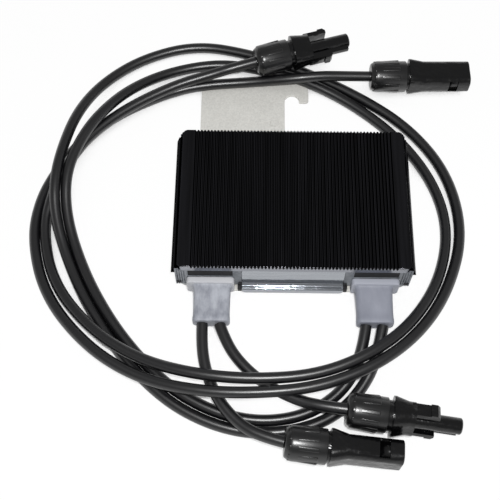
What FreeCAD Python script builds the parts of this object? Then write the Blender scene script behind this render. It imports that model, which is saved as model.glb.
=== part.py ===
# Solar power optimizer: a black ribbed heat-sink lid on a grey die-cast tub, screwed to a galvanised
# bracket with a hooked tab. Two moulded glands at the front let out four leads with plug connectors.
# Millimetres. The origin is the centre of the housing's footprint, on the surface that it rests on.
# X runs to the right, Y to the back, where the bracket's tab is, and Z up.
import FreeCAD, Part
import math
import os
import re
import Sketcher

V = FreeCAD.Vector
RIGHT = V(1, 0, 0)
BACK = V(0, 1, 0)
UP = V(0, 0, 1)
SIDES = {"left": "-", "right": ""}

SIZES = {
    # Lid: a slab with fine ribs on top and flanges down its two sides
    "lid_width": 120.8,
    "lid_depth": 82.7,
    "lid_top": 27.5,
    "lid_thickness": 4.5,
    "lid_corner": 3.0,
    "lid_edge": 0.9,
    "flange_top": 0.9,
    "flange_slope": 1.6,
    "flange_height": 5.1,
    "flange_inset": 1.4,
    "lip_offset": 0.6,
    "lip_slope": 1.4,
    "lip_height": 4.5,
    "lip_inset": 1.6,
    "rib_count": 58,
    "rib_spacing": 1.82,
    "groove_mouth": 1.3,
    "groove_floor": 0.5,
    "groove_depth": 1.8,
    # Tub: a block with corner posts on a narrower pan
    "tub_gap": 0.3,
    "tub_inset": 0.1,
    "tub_setback": 0.35,
    "tub_wall": 3.4,
    "tub_corner": 2.0,
    "tub_base": 5.0,
    "frame_width": 123.6,
    "frame_thickness": 0.9,
    "pan_inset": 6.2,
    "pan_corner": 4.0,
    "floor_thickness": 2.4,
    "shelf_height": 9.0,
    "shelf_width": 5.4,
    "post_width": 8.0,
    "post_depth": 6.8,
    "rib_groove_width": 0.6,
    "rib_groove_depth": 0.5,
    "rib_groove_spacing": 1.2,
    "rib_groove_first": 1.2,
    # Gasket between the tub's rim and the lid
    "gasket_land": 0.6,
    "gasket_width": 1.2,
    "gasket_height": 1.0,
    # Screws
    "screw_radius": 1.5,
    "screw_play": 0.05,
    "lid_screw_side": 3.4,
    "lid_screw_front": 2.8,
    "lid_screw_head": 2.8,
    "lid_screw_head_height": 2.4,
    "lid_screw_grip": 2.8,
    "lid_screw_spare": 0.4,
    "base_screw_apart_x": 80.0,
    "base_screw_apart_y": 48.0,
    "base_screw_head": 2.8,
    "base_screw_length": 5.6,
    "base_boss_radius": 4.0,
    "board_screw_radius": 1.25,
    "board_screw_head": 2.4,
    "board_screw_head_height": 1.6,
    "board_screw_depth": 2.4,
    "board_screw_inset": 4.0,
    # Front plate: folded sheet with a forward ledge and a lip
    "plate_inset": 16.3,
    "plate_sheet": 0.8,
    "plate_top_gap": 0.2,
    "plate_play": 0.1,
    "ledge_height": 6.0,
    "ledge_reach": 3.4,
    "plate_foot": 1.8,
    "plate_corner": 2.4,
    "plate_bend": 1.2,
    "plate_fold": 1.8,
    # Bracket
    "bracket_sheet": 1.6,
    "base_width": 105.2,
    "base_depth": 70.0,
    "base_corner": 3.0,
    "tongue_width": 62.0,
    "tongue_reach": 43.0,
    "tab_width": 49.0,
    "tab_reach": 90.0,
    "hook_reach": 14.0,
    "hook_tip": 77.0,
    "hook_round": 5.0,
    "hook_slot": 8.5,
    "hook_slot_end": 82.0,
    "tab_corner": 1.5,
    "dimple_radius": 2.5,
    "dimple_rise": 0.6,
    "dimple_from_edge": 5.9,
    "dimple_offset": 62.5,
    # Glands
    "gland_share": 0.3584,
    "gland_flange_width": 25.0,
    "gland_flange_height": 12.6,
    "gland_flange_base": 2.6,
    "gland_flange_thickness": 3.6,
    "gland_flange_corner": 2.2,
    "gland_flange_round": 0.6,
    "boot_shift": 0.9,
    "boot_width": 19.4,
    "boot_height": 8.8,
    "boot_length": 20.9,
    "boot_taper": 0.5,
    "boot_corner": 3.2,
    "boot_end_round": 1.0,
    "lead_height": 9.6,
    "lead_apart": 9.0,
    "neck_width": 16.0,
    "neck_height": 5.0,
    "neck_centre": 12.4,
    "neck_play": 0.1,
    "keeper_width": 17.6,
    "keeper_height": 6.2,
    "keeper_thickness": 1.4,
    # Dark strips above the glands
    "clamp_width": 23.4,
    "clamp_play": 0.1,
    "clamp_recess": 1.1,
    "clamp_thickness": 0.7,
    # Circuit board and what stands on it
    "board_side_gap": 0.4,
    "board_end_gap": 0.2,
    "board_thickness": 1.6,
    "spreader_width": 64.0,
    "spreader_depth": 14.0,
    "spreader_offset": 22.0,
    "pad_thickness": 0.6,
    "transistor_spacing": 15.0,
    "transistor_width": 10.0,
    "transistor_depth": 9.0,
    "transistor_height": 4.4,
    "tab_length": 4.5,
    "tab_sheet": 1.3,
    "inductor_apart": 42.0,
    "inductor_offset": -4.0,
    "inductor_base": 21.0,
    "inductor_base_height": 2.4,
    "inductor_core": 9.8,
    "inductor_winding": 9.2,
    "inductor_height": 10.6,
    "inductor_cap": 2.0,
    "capacitor_radius": 4.2,
    "capacitor_height": 10.2,
    "capacitor_spacing": 10.0,
    "capacitor_inset": 11.5,
    "chip_width": 9.0,
    "chip_height": 1.4,
    "chip_offset": -22.0,
    "driver_offset": 13.0,
    "driver_width": 5.0,
    "terminal_width": 17.0,
    "terminal_depth": 8.0,
    "terminal_height": 7.0,
    "tail_length": 3.2,
    "tail_radius": 1.7,
    # Leads and what their connectors share
    "lead_radius": 3.0,
    "seal_step": 2.0,
    "seal_radius": 5.0,
    "seal_length": 10.0,
    "nut_radius": 8.8,
    "nut_mouth": 7.2,
    "nut_dome": 2.4,
    "nut_edge": 0.3,
    "nut_play": 0.1,
    "grip_count": 11,
    "grip_width": 2.4,
    "grip_rise": 0.5,
    "grip_ramp": 1.0,
    "grip_round": 0.4,
    "grip_end": 4.2,
    "stub_radius": 6.9,
    "collar_radius": 7.7,
    "contact_radius": 2.0,
    "pin_radius": 1.5,
    "contact_play": 0.05,
    "contact_start": 14.0,
    "contact_chamfer": 0.5,
    "plastic_chamfer": 0.6,
    # Plugs
    "plug_nut_length": 19.5,
    "plug_collar": 2.5,
    "plug_ridge": 1.0,
    "plug_ridge_rise": 0.3,
    "plug_flare": 1.9,
    "plug_flare_length": 6.5,
    "plug_body_length": 9.7,
    "plug_across": 17.6,
    "plug_thick": 13.8,
    "plug_round": 6.0,
    "plug_length": 56.3,
    "plug_nose": 4.1,
    "plug_bore_depth": 12.0,
    "plug_key_reach": 6.2,
    "plug_key_width": 3.0,
    "plug_key_inset": 1.5,
    "arm_end": 44.2,
    "arm_reach": 8.7,
    "arm_thickness": 2.3,
    "arm_width": 7.0,
    "arm_root": 2.0,
    "arm_hook": 0.8,
    "arm_hook_length": 4.6,
    "arm_hook_nose": 1.4,
    # Sockets
    "socket_nut_length": 20.6,
    "socket_collar": 1.5,
    "socket_ridge": 1.2,
    "socket_across": 16.4,
    "socket_thick": 12.4,
    "socket_round": 4.2,
    "socket_length": 57.5,
    "socket_ridge_rise": 0.3,
    "socket_flare": 2.0,
    "socket_flare_length": 7.5,
    "socket_face_round": 0.7,
    "window_length": 5.2,
    "window_width": 9.4,
    "window_depth": 2.8,
    "window_from_end": 7.0,
    "mouth_width": 13.2,
    "mouth_height": 8.0,
    "mouth_round": 1.2,
    "mouth_depth": 12.0,
    "socket_bore": 4.9,
    "socket_bore_depth": 24.0,
    "socket_slot_reach": 6.5,
    "socket_slot_width": 3.4,
    "socket_pin_end": 45.0,
}

# Routes of the leads, from the gland to the connector: the points where the straight runs would meet.
# They are drawn round a housing of these half sizes, and move out with its sides.
ROUTE_HALF_WIDTH = 60.4
ROUTE_HALF_DEPTH = 41.35
INPUT_SOCKET_ROUTE = [
    (-47, -65.5, 9.6), (-47, -77, 9.5), (-44.2, -91.5, 9.4), (-38, -105.5, 9.4),
    (-27.8, -117.4, 10.2), (-16.7, -124.2, 12), (-4.7, -127.3, 12.8),
]
INPUT_PLUG_ROUTE = [
    (-38, -65.5, 9.6), (-34.3, -75.8, 9.6), (-26.5, -87, 9.6), (-14.5, -97.5, 9.7),
    (2.5, -106.3, 11.6), (15, -110, 15.2), (26, -111.4, 15.8),
]
OUTPUT_PLUG_ROUTE = [
    (37.7, -65.5, 9.6), (35.5, -79.3, 8.4), (27, -97.5, 4), (8, -111, 3), (-16, -115.8, 3),
    (-40, -111, 3), (-63.3, -97.3, 3), (-86.3, -73.2, 3), (-105, -46, 3), (-117, -20, 3.5),
    (-123, 0, 8.5), (-124, 18, 14.5), (-120.5, 36, 16.3), (-110.5, 56.5, 16.4), (-94.5, 80, 9.3),
    (-71, 97, 3.3), (-41, 103.5, 3), (-13.5, 98, 3.3), (8.5, 90, 5.4), (36, 75.5, 3), (62, 52, 3),
    (79.5, 24, 3), (86, -5.5, 3), (79, -37, 5), (61, -65.6, 14), (38.5, -83.6, 17.5),
    (12, -94.3, 17.3), (-19, -96.9, 17.3), (-49, -94.4, 16.5), (-78, -86, 11.5), (-104, -70, 9.6),
    (-127, -41, 4), (-136, -9.5, 3), (-132.6, 13, 7.5), (-125.4, 30.4, 9.4), (-114.5, 49, 9.4),
    (-94.5, 67, 9.4), (-68, 82.3, 10.1), (-47, 88.6, 12.2), (-33.2, 91.5, 15.6), (-20.7, 95.2, 16.2),
]
OUTPUT_SOCKET_ROUTE = [
    (46.5, -65.5, 9.6), (43.7, -78.6, 8.2), (38, -93.5, 5), (25, -109, 3), (6, -118.5, 3),
    (-18.5, -122, 3), (-42, -117, 3), (-65.7, -104.5, 3), (-89.5, -80.3, 3), (-109, -51.5, 3),
    (-122.5, -25, 3.5), (-129.5, -3, 9.5), (-130.6, 15, 15.7), (-128.5, 35, 15.7), (-123, 63, 11),
    (-110.5, 88, 4.5), (-88, 106.5, 3), (-57, 116.5, 3), (-24.5, 110.5, 3), (7, 98.5, 3),
    (39, 81.3, 3), (68, 59.5, 3), (88, 29.5, 3), (94, -7.5, 3), (83.8, -42, 5.5),
    (65.6, -69.6, 13.2), (41.4, -89.3, 16.7), (12, -101.6, 17.5), (-19, -105, 17.4),
    (-47.5, -103.7, 15.8), (-77.5, -94.5, 10.8), (-105, -78, 9.6), (-131.5, -48.5, 3.5),
    (-142, -15.5, 3), (-140.3, 9.5, 3), (-131.7, 30.5, 3), (-120, 49, 3), (-101, 66.5, 3),
    (-73, 81.3, 3.4), (-52, 86.2, 5.1), (-24, 88.7, 4.9), (1, 87.2, 11.2), (17, 89, 11.6),
    (32, 89.9, 10.4), (46.4, 90.2, 9.9),
]

# Each connector: its kind, its lead's route, and how its axis turns about Z, dips and rolls, in degrees
CONNECTORS = {
    "input_socket": ("socket", INPUT_SOCKET_ROUTE, -5.0, 3.2, 85.0),
    "input_plug": ("plug", INPUT_PLUG_ROUTE, -7.5, 2.3, 70.0),
    "output_plug": ("plug", OUTPUT_PLUG_ROUTE, 16.7, 0.0, 8.0),
    "output_socket": ("socket", OUTPUT_SOCKET_ROUTE, 1.1, 0.5, 0.0),
}

doc = FreeCAD.newDocument("PowerOptimizer")
sheet = doc.addObject("Spreadsheet::Sheet", "Sizes")
nodes = []


def fill_sheet():
    """One row for each size: its name, and its value under that name as alias."""
    for row, (name, value) in enumerate(SIZES.items(), start=1):
        sheet.set("A%d" % row, name)
        sheet.set("B%d" % row, str(value))
        sheet.setAlias("B%d" % row, name)
    doc.recompute()


def size(name):
    return float(sheet.get(name))


def cell(formula):
    """The formula with each name in it bound to the sheet."""
    return re.sub(r"[a-z][a-z_]*", r"Sizes.\g<0>", formula)


def keep(piece):
    nodes.append(piece)
    return piece


def new_body(label):
    body = doc.addObject("PartDesign::Body", label)
    body.Label = label
    return keep(body)


def origin_feature(body, role):
    for feature in body.Origin.OriginFeatures:
        if feature.Role == role:
            return feature
    raise ValueError("no origin feature " + role)


def new_sketch(body, name, role, offset):
    """A sketch on one of the body's own origin planes, moved out by offset along its normal."""
    sketch = body.newObject("Sketcher::SketchObject", body.Label + "_" + name)
    sketch.AttachmentSupport = [(origin_feature(body, role), "")]
    sketch.MapMode = "FlatFace"
    sketch.setExpression("AttachmentOffset.Base.z", cell(offset))
    return sketch


def hold(sketch, kind, geometry, point, formula, guess):
    """Holds a point's distance from the sketch's origin, or a circle's radius, to a formula."""
    if kind == "Radius":
        constraint = Sketcher.Constraint(kind, geometry, guess)
    else:
        constraint = Sketcher.Constraint(kind, -1, 1, geometry, point, guess)
    index = sketch.addConstraint(constraint)
    sketch.setExpression("Constraints[%d]" % index, cell(formula))


def draw_loop(sketch, corners):
    """A closed loop of straight edges, each corner held to its two formulas."""
    first = sketch.GeometryCount
    count = len(corners)
    spread = [V(10 * math.cos(k * math.tau / count), 10 * math.sin(k * math.tau / count), 0)
              for k in range(count)]
    for k in range(count):
        sketch.addGeometry(Part.LineSegment(spread[k], spread[(k + 1) % count]))
    for k in range(count):
        following = first + (k + 1) % count
        sketch.addConstraint(Sketcher.Constraint("Coincident", first + k, 2, following, 1))
    for k, (across, along) in enumerate(corners):
        hold(sketch, "DistanceX", first + k, 1, across, spread[k].x)
        hold(sketch, "DistanceY", first + k, 1, along, spread[k].y)


def draw_rectangle(sketch, left, right, low, high):
    draw_loop(sketch, [(left, low), (right, low), (right, high), (left, high)])


def draw_centred(sketch, half_width, half_depth):
    draw_rectangle(sketch, "-(%s)" % half_width, half_width, "-(%s)" % half_depth, half_depth)


def draw_circle(sketch, across, along, radius):
    circle = sketch.addGeometry(Part.Circle(V(5, 5, 0), UP, 1))
    hold(sketch, "DistanceX", circle, 3, across, 5)
    hold(sketch, "DistanceY", circle, 3, along, 5)
    hold(sketch, "Radius", circle, 0, radius, 1)


def four_corners(half_width, half_depth):
    return [(side + "(%s)" % half_width, end + "(%s)" % half_depth)
            for side in SIDES.values() for end in SIDES.values()]


def pad(body, sketch, length, symmetric=False, reversed_way=False):
    feature = body.newObject("PartDesign::Pad", sketch.Label + "_pad")
    feature.Profile = sketch
    feature.Midplane = symmetric
    feature.Reversed = reversed_way
    feature.setExpression("Length", cell(length))
    sketch.Visibility = False
    doc.recompute()
    return feature


def pocket(body, sketch, length, symmetric=False, reversed_way=False):
    """A pocket, which goes against its sketch's normal unless it is reversed."""
    before = body.Shape.Volume
    feature = body.newObject("PartDesign::Pocket", sketch.Label + "_pocket")
    feature.Profile = sketch
    feature.Midplane = symmetric
    feature.Reversed = reversed_way
    feature.setExpression("Length", cell(length))
    sketch.Visibility = False
    doc.recompute()
    if body.Shape.Volume > before - 1e-6:
        raise ValueError(feature.Label + " cuts nothing")
    return feature


def round_edges(body, radius, wanted):
    """A fillet on those edges of the body's last feature that the test wanted picks."""
    base = body.Tip
    names = ["Edge%d" % (k + 1) for k, edge in enumerate(base.Shape.Edges) if wanted(edge)]
    if not names:
        raise ValueError(body.Label + " has no edge to round")
    fillet = body.newObject("PartDesign::Fillet", body.Label + "_round")
    fillet.Base = (base, names)
    fillet.setExpression("Radius", cell(radius))
    doc.recompute()
    if fillet.Shape.isNull():
        raise ValueError(fillet.Label + " failed")
    return fillet


def runs_along(edge, direction):
    if not isinstance(edge.Curve, Part.Line):
        return False
    return abs(abs(edge.Curve.Direction.dot(direction)) - 1) < 1e-6


def place(piece, corner):
    for axis, formula in zip("xyz", corner):
        piece.setExpression("Placement.Base." + axis, cell(formula))


def block(label, corner, lengths):
    piece = doc.addObject("Part::Box", label)
    for name, formula in zip(("Length", "Width", "Height"), lengths):
        piece.setExpression(name, cell(formula))
    place(piece, corner)
    return piece


def standing_rod(label, centre, radius, height):
    piece = doc.addObject("Part::Cylinder", label)
    piece.setExpression("Radius", cell(radius))
    piece.setExpression("Height", cell(height))
    place(piece, centre)
    return piece


def lying_rod(label, start, radius, length):
    """A rod that runs back, along +Y, from its start."""
    piece = standing_rod(label, start, radius, length)
    piece.Placement.Rotation = FreeCAD.Rotation(RIGHT, -90)
    return piece


def fused(label, pieces):
    piece = doc.addObject("Part::MultiFuse", label)
    piece.Shapes = pieces
    return piece


def grouped(label, pieces):
    """Like pieces that share one node, each still a solid of its own."""
    piece = doc.addObject("Part::Compound", label)
    piece.Links = pieces
    return keep(piece)


# Formulas that several pieces share
LID_UNDER = "lid_top-lid_thickness"
TUB_HALF_WIDTH = "lid_width/2-tub_inset"
TUB_HALF_DEPTH = "lid_depth/2-tub_setback"
BOARD_TOP = "shelf_height+board_thickness"
LID_SCREW_ACROSS = TUB_HALF_WIDTH + "-lid_screw_side"
LID_SCREW_ALONG = TUB_HALF_DEPTH + "-lid_screw_front"
GLAND_TOP = "gland_flange_base+gland_flange_height"
GLAND_MIDDLE = "lid_width*gland_share"
PLATE_HALF = GLAND_MIDDLE + "-plate_inset"
BOARD_HALF_WIDTH = TUB_HALF_WIDTH + "-tub_wall-board_side_gap"
BOARD_HALF_DEPTH = TUB_HALF_DEPTH + "-post_depth-board_end_gap"
BOARD_SCREW_ACROSS = TUB_HALF_WIDTH + "-tub_wall-shelf_width/2"
BOARD_SCREW_ALONG = BOARD_HALF_DEPTH + "-board_screw_inset"


def cavity_corners(offset):
    """The tub's cavity seen from above, cut back at the corner posts, grown by offset."""
    wide = TUB_HALF_WIDTH + "-tub_wall+" + offset
    deep = TUB_HALF_DEPTH + "-tub_wall+" + offset
    post_x = TUB_HALF_WIDTH + "-post_width+" + offset
    post_y = TUB_HALF_DEPTH + "-post_depth+" + offset
    quarter = [(wide, post_y), (post_x, post_y), (post_x, deep)]
    corners = quarter
    corners = corners + [("-(%s)" % x, y) for x, y in reversed(quarter)]
    corners = corners + [("-(%s)" % x, "-(%s)" % y) for x, y in quarter]
    corners = corners + [(x, "-(%s)" % y) for x, y in reversed(quarter)]
    return corners


def heatsink_cover():
    """The lid: slab, side flanges with a ledge and a lip, and ribs left between V-shaped grooves."""
    body = new_body("heatsink_cover")
    slab = new_sketch(body, "slab", "XY_Plane", LID_UNDER)
    draw_centred(slab, "lid_width/2", "lid_depth/2")
    pad(body, slab, "lid_thickness")
    round_edges(body, "lid_corner", lambda edge: runs_along(edge, UP))
    top = size("lid_top")
    round_edges(body, "lid_edge", lambda edge: edge.BoundBox.ZMin > top - 0.001)
    inner = "lid_width/2-tub_inset+tub_gap"
    ledge = "lid_top-flange_top-flange_height"
    upper = new_sketch(body, "flanges", "XZ_Plane", "0")
    lower = new_sketch(body, "lips", "XZ_Plane", "0")
    for side in SIDES.values():
        draw_loop(upper, [(side + "(lid_width/2-lid_edge)", "lid_top-flange_top"),
                          (side + "(lid_width/2+0.01)", "lid_top-flange_top"),
                          (side + "(lid_width/2+flange_slope)", ledge),
                          (side + "(%s)" % inner, ledge),
                          (side + "(%s)" % inner, LID_UNDER),
                          (side + "(lid_width/2-lid_edge)", LID_UNDER)])
        draw_loop(lower, [(side + "(%s)" % inner, ledge + "+0.01"),
                          (side + "(lid_width/2+flange_slope+lip_offset)", ledge + "+0.01"),
                          (side + "(lid_width/2+flange_slope+lip_offset+lip_slope)", ledge + "-lip_height"),
                          (side + "(%s)" % inner, ledge + "-lip_height")])
    pad(body, upper, "lid_depth-2*flange_inset", symmetric=True)
    pad(body, lower, "lid_depth-2*lip_inset", symmetric=True)
    holes = new_sketch(body, "screw_holes", "XY_Plane", LID_UNDER)
    for across, along in four_corners(LID_SCREW_ACROSS, LID_SCREW_ALONG):
        draw_circle(holes, across, along, "screw_radius+screw_play")
    pocket(body, holes, "lid_screw_grip+lid_screw_spare", reversed_way=True)
    groove = new_sketch(body, "groove", "XZ_Plane", "0")
    middle = "-rib_count*rib_spacing/2"
    draw_loop(groove, [(middle + "-groove_mouth/2", "lid_top+0.01"),
                       (middle + "-groove_floor/2", "lid_top-groove_depth"),
                       (middle + "+groove_floor/2", "lid_top-groove_depth"),
                       (middle + "+groove_mouth/2", "lid_top+0.01")])
    first = pocket(body, groove, "lid_depth+1", symmetric=True)
    ribs = body.newObject("PartDesign::LinearPattern", "heatsink_cover_ribs")
    ribs.Originals = [first]
    ribs.Direction = (origin_feature(body, "X_Axis"), [""])
    ribs.Mode = "Spacing"
    ribs.setExpression("Offset", cell("rib_spacing"))
    ribs.setExpression("Occurrences", cell("rib_count+1"))
    body.Tip = ribs
    return body


def housing_tub():
    """The tub: a block between four corner posts, on a pan that stands back from its edge."""
    body = new_body("housing_tub")
    outer = new_sketch(body, "block", "XY_Plane", "tub_base")
    draw_centred(outer, TUB_HALF_WIDTH, TUB_HALF_DEPTH)
    pad(body, outer, LID_UNDER + "-tub_base")
    round_edges(body, "tub_corner", lambda edge: runs_along(edge, UP))
    ends = new_sketch(body, "end_frames", "XY_Plane", "tub_base")
    for side in SIDES.values():
        near = side + "(%s-frame_thickness)" % TUB_HALF_DEPTH
        far = side + "(%s)" % TUB_HALF_DEPTH
        draw_loop(ends, [("-frame_width/2", near), ("frame_width/2", near), ("frame_width/2", far),
                         ("-frame_width/2", far)])
    pad(body, ends, LID_UNDER + "-tub_base")
    pan = new_sketch(body, "pan", "XY_Plane", "tub_base")
    draw_centred(pan, TUB_HALF_WIDTH + "-pan_inset", TUB_HALF_DEPTH + "-pan_inset")
    pad(body, pan, "tub_base-bracket_sheet", reversed_way=True)
    base = size("tub_base")
    round_edges(body, "pan_corner", lambda edge: runs_along(edge, UP) and edge.BoundBox.ZMax < base + 0.01)
    hollow = new_sketch(body, "hollow", "XY_Plane", LID_UNDER)
    draw_loop(hollow, cavity_corners("0"))
    pocket(body, hollow, LID_UNDER + "-shelf_height")
    well = new_sketch(body, "well", "XY_Plane", "shelf_height")
    draw_centred(well, TUB_HALF_WIDTH + "-tub_wall-shelf_width", TUB_HALF_DEPTH + "-tub_wall-shelf_width")
    pocket(body, well, "shelf_height-bracket_sheet-floor_thickness")
    bosses = new_sketch(body, "bosses", "XY_Plane", "bracket_sheet")
    screw_holes = new_sketch(body, "base_holes", "XY_Plane", "bracket_sheet")
    for across, along in four_corners("base_screw_apart_x/2", "base_screw_apart_y/2"):
        draw_circle(bosses, across, along, "base_boss_radius")
        draw_circle(screw_holes, across, along, "screw_radius+screw_play")
    pad(body, bosses, "base_screw_length")
    pocket(body, screw_holes, "base_screw_length-bracket_sheet+0.4", reversed_way=True)
    post_holes = new_sketch(body, "post_holes", "XY_Plane", LID_UNDER)
    for across, along in four_corners(LID_SCREW_ACROSS, LID_SCREW_ALONG):
        draw_circle(post_holes, across, along, "screw_radius+screw_play")
    pocket(body, post_holes, LID_UNDER + "-tub_base")
    shelf_holes = new_sketch(body, "shelf_holes", "XY_Plane", "shelf_height")
    for across, along in four_corners(BOARD_SCREW_ACROSS, BOARD_SCREW_ALONG):
        draw_circle(shelf_holes, across, along, "board_screw_radius+screw_play")
    pocket(body, shelf_holes, "board_screw_depth")
    channel = new_sketch(body, "gasket_channel", "XY_Plane", LID_UNDER)
    draw_loop(channel, cavity_corners("gasket_land+gasket_width"))
    draw_loop(channel, cavity_corners("gasket_land"))
    pocket(body, channel, "gasket_height")
    cut_tub_front(body)
    return body


def cut_tub_front(body):
    """The front face: a recess for the plate, one above each gland, the gland's window, and grooves."""
    plate = new_sketch(body, "plate_recess", "XZ_Plane", TUB_HALF_DEPTH)
    draw_rectangle(plate, "-(%s)" % PLATE_HALF, PLATE_HALF, "tub_base-1", LID_UNDER + "+1")
    pocket(body, plate, "plate_sheet")
    clamps = new_sketch(body, "clamp_recess", "XZ_Plane", TUB_HALF_DEPTH)
    windows = new_sketch(body, "windows", "XZ_Plane", TUB_HALF_DEPTH)
    grooves = new_sketch(body, "post_grooves", "XY_Plane", "tub_base-1")
    for side in SIDES.values():
        middle = side + GLAND_MIDDLE
        draw_rectangle(clamps, middle + "-clamp_width/2", middle + "+clamp_width/2",
                       GLAND_TOP, LID_UNDER + "-clamp_play")
        half_width = "(neck_width/2+neck_play)"
        half_height = "(neck_height/2+neck_play)"
        draw_rectangle(windows, middle + "-" + half_width, middle + "+" + half_width,
                       "neck_centre-" + half_height, "neck_centre+" + half_height)
        for k in range(4):
            across = "frame_width/2-rib_groove_first-%d*rib_groove_spacing" % k
            face = "-(%s)" % TUB_HALF_DEPTH
            draw_loop(grooves, [(side + "(%s-rib_groove_width/2)" % across, face + "-0.01"),
                                (side + "(%s+rib_groove_width/2)" % across, face + "-0.01"),
                                (side + "(%s)" % across, face + "+rib_groove_depth")])
    pocket(body, clamps, "clamp_recess")
    pocket(body, windows, "tub_wall")
    pocket(body, grooves, LID_UNDER + "-tub_base+2", reversed_way=True)


def cover_gasket():
    """A ring that fills its channel in the tub's rim."""
    body = new_body("cover_gasket")
    ring = new_sketch(body, "ring", "XY_Plane", LID_UNDER + "-gasket_height")
    draw_loop(ring, cavity_corners("gasket_land+gasket_width"))
    draw_loop(ring, cavity_corners("gasket_land"))
    pad(body, ring, "gasket_height")
    return body


def front_plate():
    """Folded sheet: flat in the tub's recess, out along a ledge, and down in a lip."""
    body = new_body("front_plate")
    face = "-(%s)" % TUB_HALF_DEPTH
    under = "ledge_height-plate_sheet"
    top = LID_UNDER + "-plate_top_gap"
    profile = new_sketch(body, "fold", "YZ_Plane", "0")
    draw_loop(profile, [(face + "+plate_sheet", top),
                        (face, top),
                        (face, "ledge_height"),
                        (face + "-ledge_reach", "ledge_height"),
                        (face + "-ledge_reach", "plate_foot"),
                        (face + "-ledge_reach+plate_sheet", "plate_foot"),
                        (face + "-ledge_reach+plate_sheet", under),
                        (face + "+plate_sheet", under)])
    pad(body, profile, "2*(%s-plate_play)" % PLATE_HALF, symmetric=True)
    foot = size("plate_foot")
    round_edges(body, "plate_corner",
                lambda edge: runs_along(edge, BACK) and edge.BoundBox.ZMax < foot + 0.01)
    wall = -(size("lid_depth") / 2 - size("tub_setback"))
    ledge = size("ledge_height")
    sheet_metal = size("plate_sheet")

    def is_bend(edge, along, height):
        return runs_along(edge, RIGHT) and abs(edge.BoundBox.YMin - along) < 0.01 \
            and abs(edge.BoundBox.ZMin - height) < 0.01

    round_edges(body, "plate_bend", lambda edge: is_bend(edge, wall - size("ledge_reach"), ledge))
    round_edges(body, "plate_fold", lambda edge: is_bend(edge, wall, ledge))
    round_edges(body, "plate_fold+plate_sheet",
                lambda edge: is_bend(edge, wall + sheet_metal, ledge - sheet_metal))
    return body


def mounting_bracket():
    """Steel base plate with a tab behind the housing, whose hook slides over a clamp bolt."""
    body = new_body("mounting_bracket")
    tab_left = "-base_width/2"
    tab_right = "-base_width/2+tab_width"
    hook_inner = tab_right + "+hook_slot"
    hook_outer = tab_right + "+hook_reach"
    slot_centre = "hook_slot_end-hook_slot/2"
    outline = new_sketch(body, "outline", "XY_Plane", "0")
    draw_loop(outline, [(tab_left, "-base_depth/2"), ("-tongue_width/2", "-base_depth/2"),
                        ("-tongue_width/2", "-tongue_reach"), ("tongue_width/2", "-tongue_reach"),
                        ("tongue_width/2", "-base_depth/2"), ("base_width/2", "-base_depth/2"),
                        ("base_width/2", "base_depth/2"), (tab_right, "base_depth/2"),
                        (tab_right, slot_centre), (hook_inner, slot_centre),
                        (hook_inner, "hook_tip"), (hook_outer, "hook_tip"),
                        (hook_outer, "tab_reach"), (tab_left, "tab_reach")])
    pad(body, outline, "bracket_sheet")
    tip = size("hook_tip")
    back = size("tab_reach")
    hook_x = size("tab_width") + size("hook_reach") - size("base_width") / 2
    half_base = size("base_depth") / 2

    def is_at(edge, across, along):
        return runs_along(edge, UP) and abs(edge.BoundBox.XMin - across) < 0.01 \
            and abs(edge.BoundBox.YMin - along) < 0.01

    half_width = size("base_width") / 2
    round_edges(body, "hook_round", lambda edge: is_at(edge, hook_x, back))
    round_edges(body, "tab_corner", lambda edge: is_at(edge, hook_x, tip) or is_at(edge, -half_width, back))
    round_edges(body, "base_corner", lambda edge: is_at(edge, half_width, half_base)
                or is_at(edge, half_width, -half_base) or is_at(edge, -half_width, -half_base))
    notch = new_sketch(body, "notch", "XY_Plane", "bracket_sheet")
    draw_circle(notch, tab_right + "+hook_slot/2", slot_centre, "hook_slot/2")
    pocket(body, notch, "bracket_sheet")
    dimple = new_sketch(body, "dimple", "XY_Plane", "bracket_sheet")
    draw_circle(dimple, tab_right + "-dimple_from_edge", "dimple_offset", "dimple_radius")
    pad(body, dimple, "dimple_rise")
    sunk = new_sketch(body, "dimple_under", "XY_Plane", "0")
    draw_circle(sunk, tab_right + "-dimple_from_edge", "dimple_offset", "dimple_radius")
    pocket(body, sunk, "dimple_rise", reversed_way=True)
    holes = new_sketch(body, "screw_holes", "XY_Plane", "bracket_sheet")
    for across, along in four_corners("base_screw_apart_x/2", "base_screw_apart_y/2"):
        draw_circle(holes, across, along, "screw_radius+screw_play")
    holes_cut = pocket(body, holes, "bracket_sheet")
    small = size("screw_radius") + size("screw_play")
    countersink = body.newObject("PartDesign::Chamfer", "mounting_bracket_countersinks")
    base = holes_cut
    rims = ["Edge%d" % (k + 1) for k, edge in enumerate(base.Shape.Edges)
            if isinstance(edge.Curve, Part.Circle) and abs(edge.Curve.Radius - small) < 0.01
            and abs(edge.Curve.Center.z) < 0.01]
    countersink.Base = (base, rims)
    countersink.setExpression("Size", cell("base_screw_head-screw_radius"))
    return body


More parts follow.
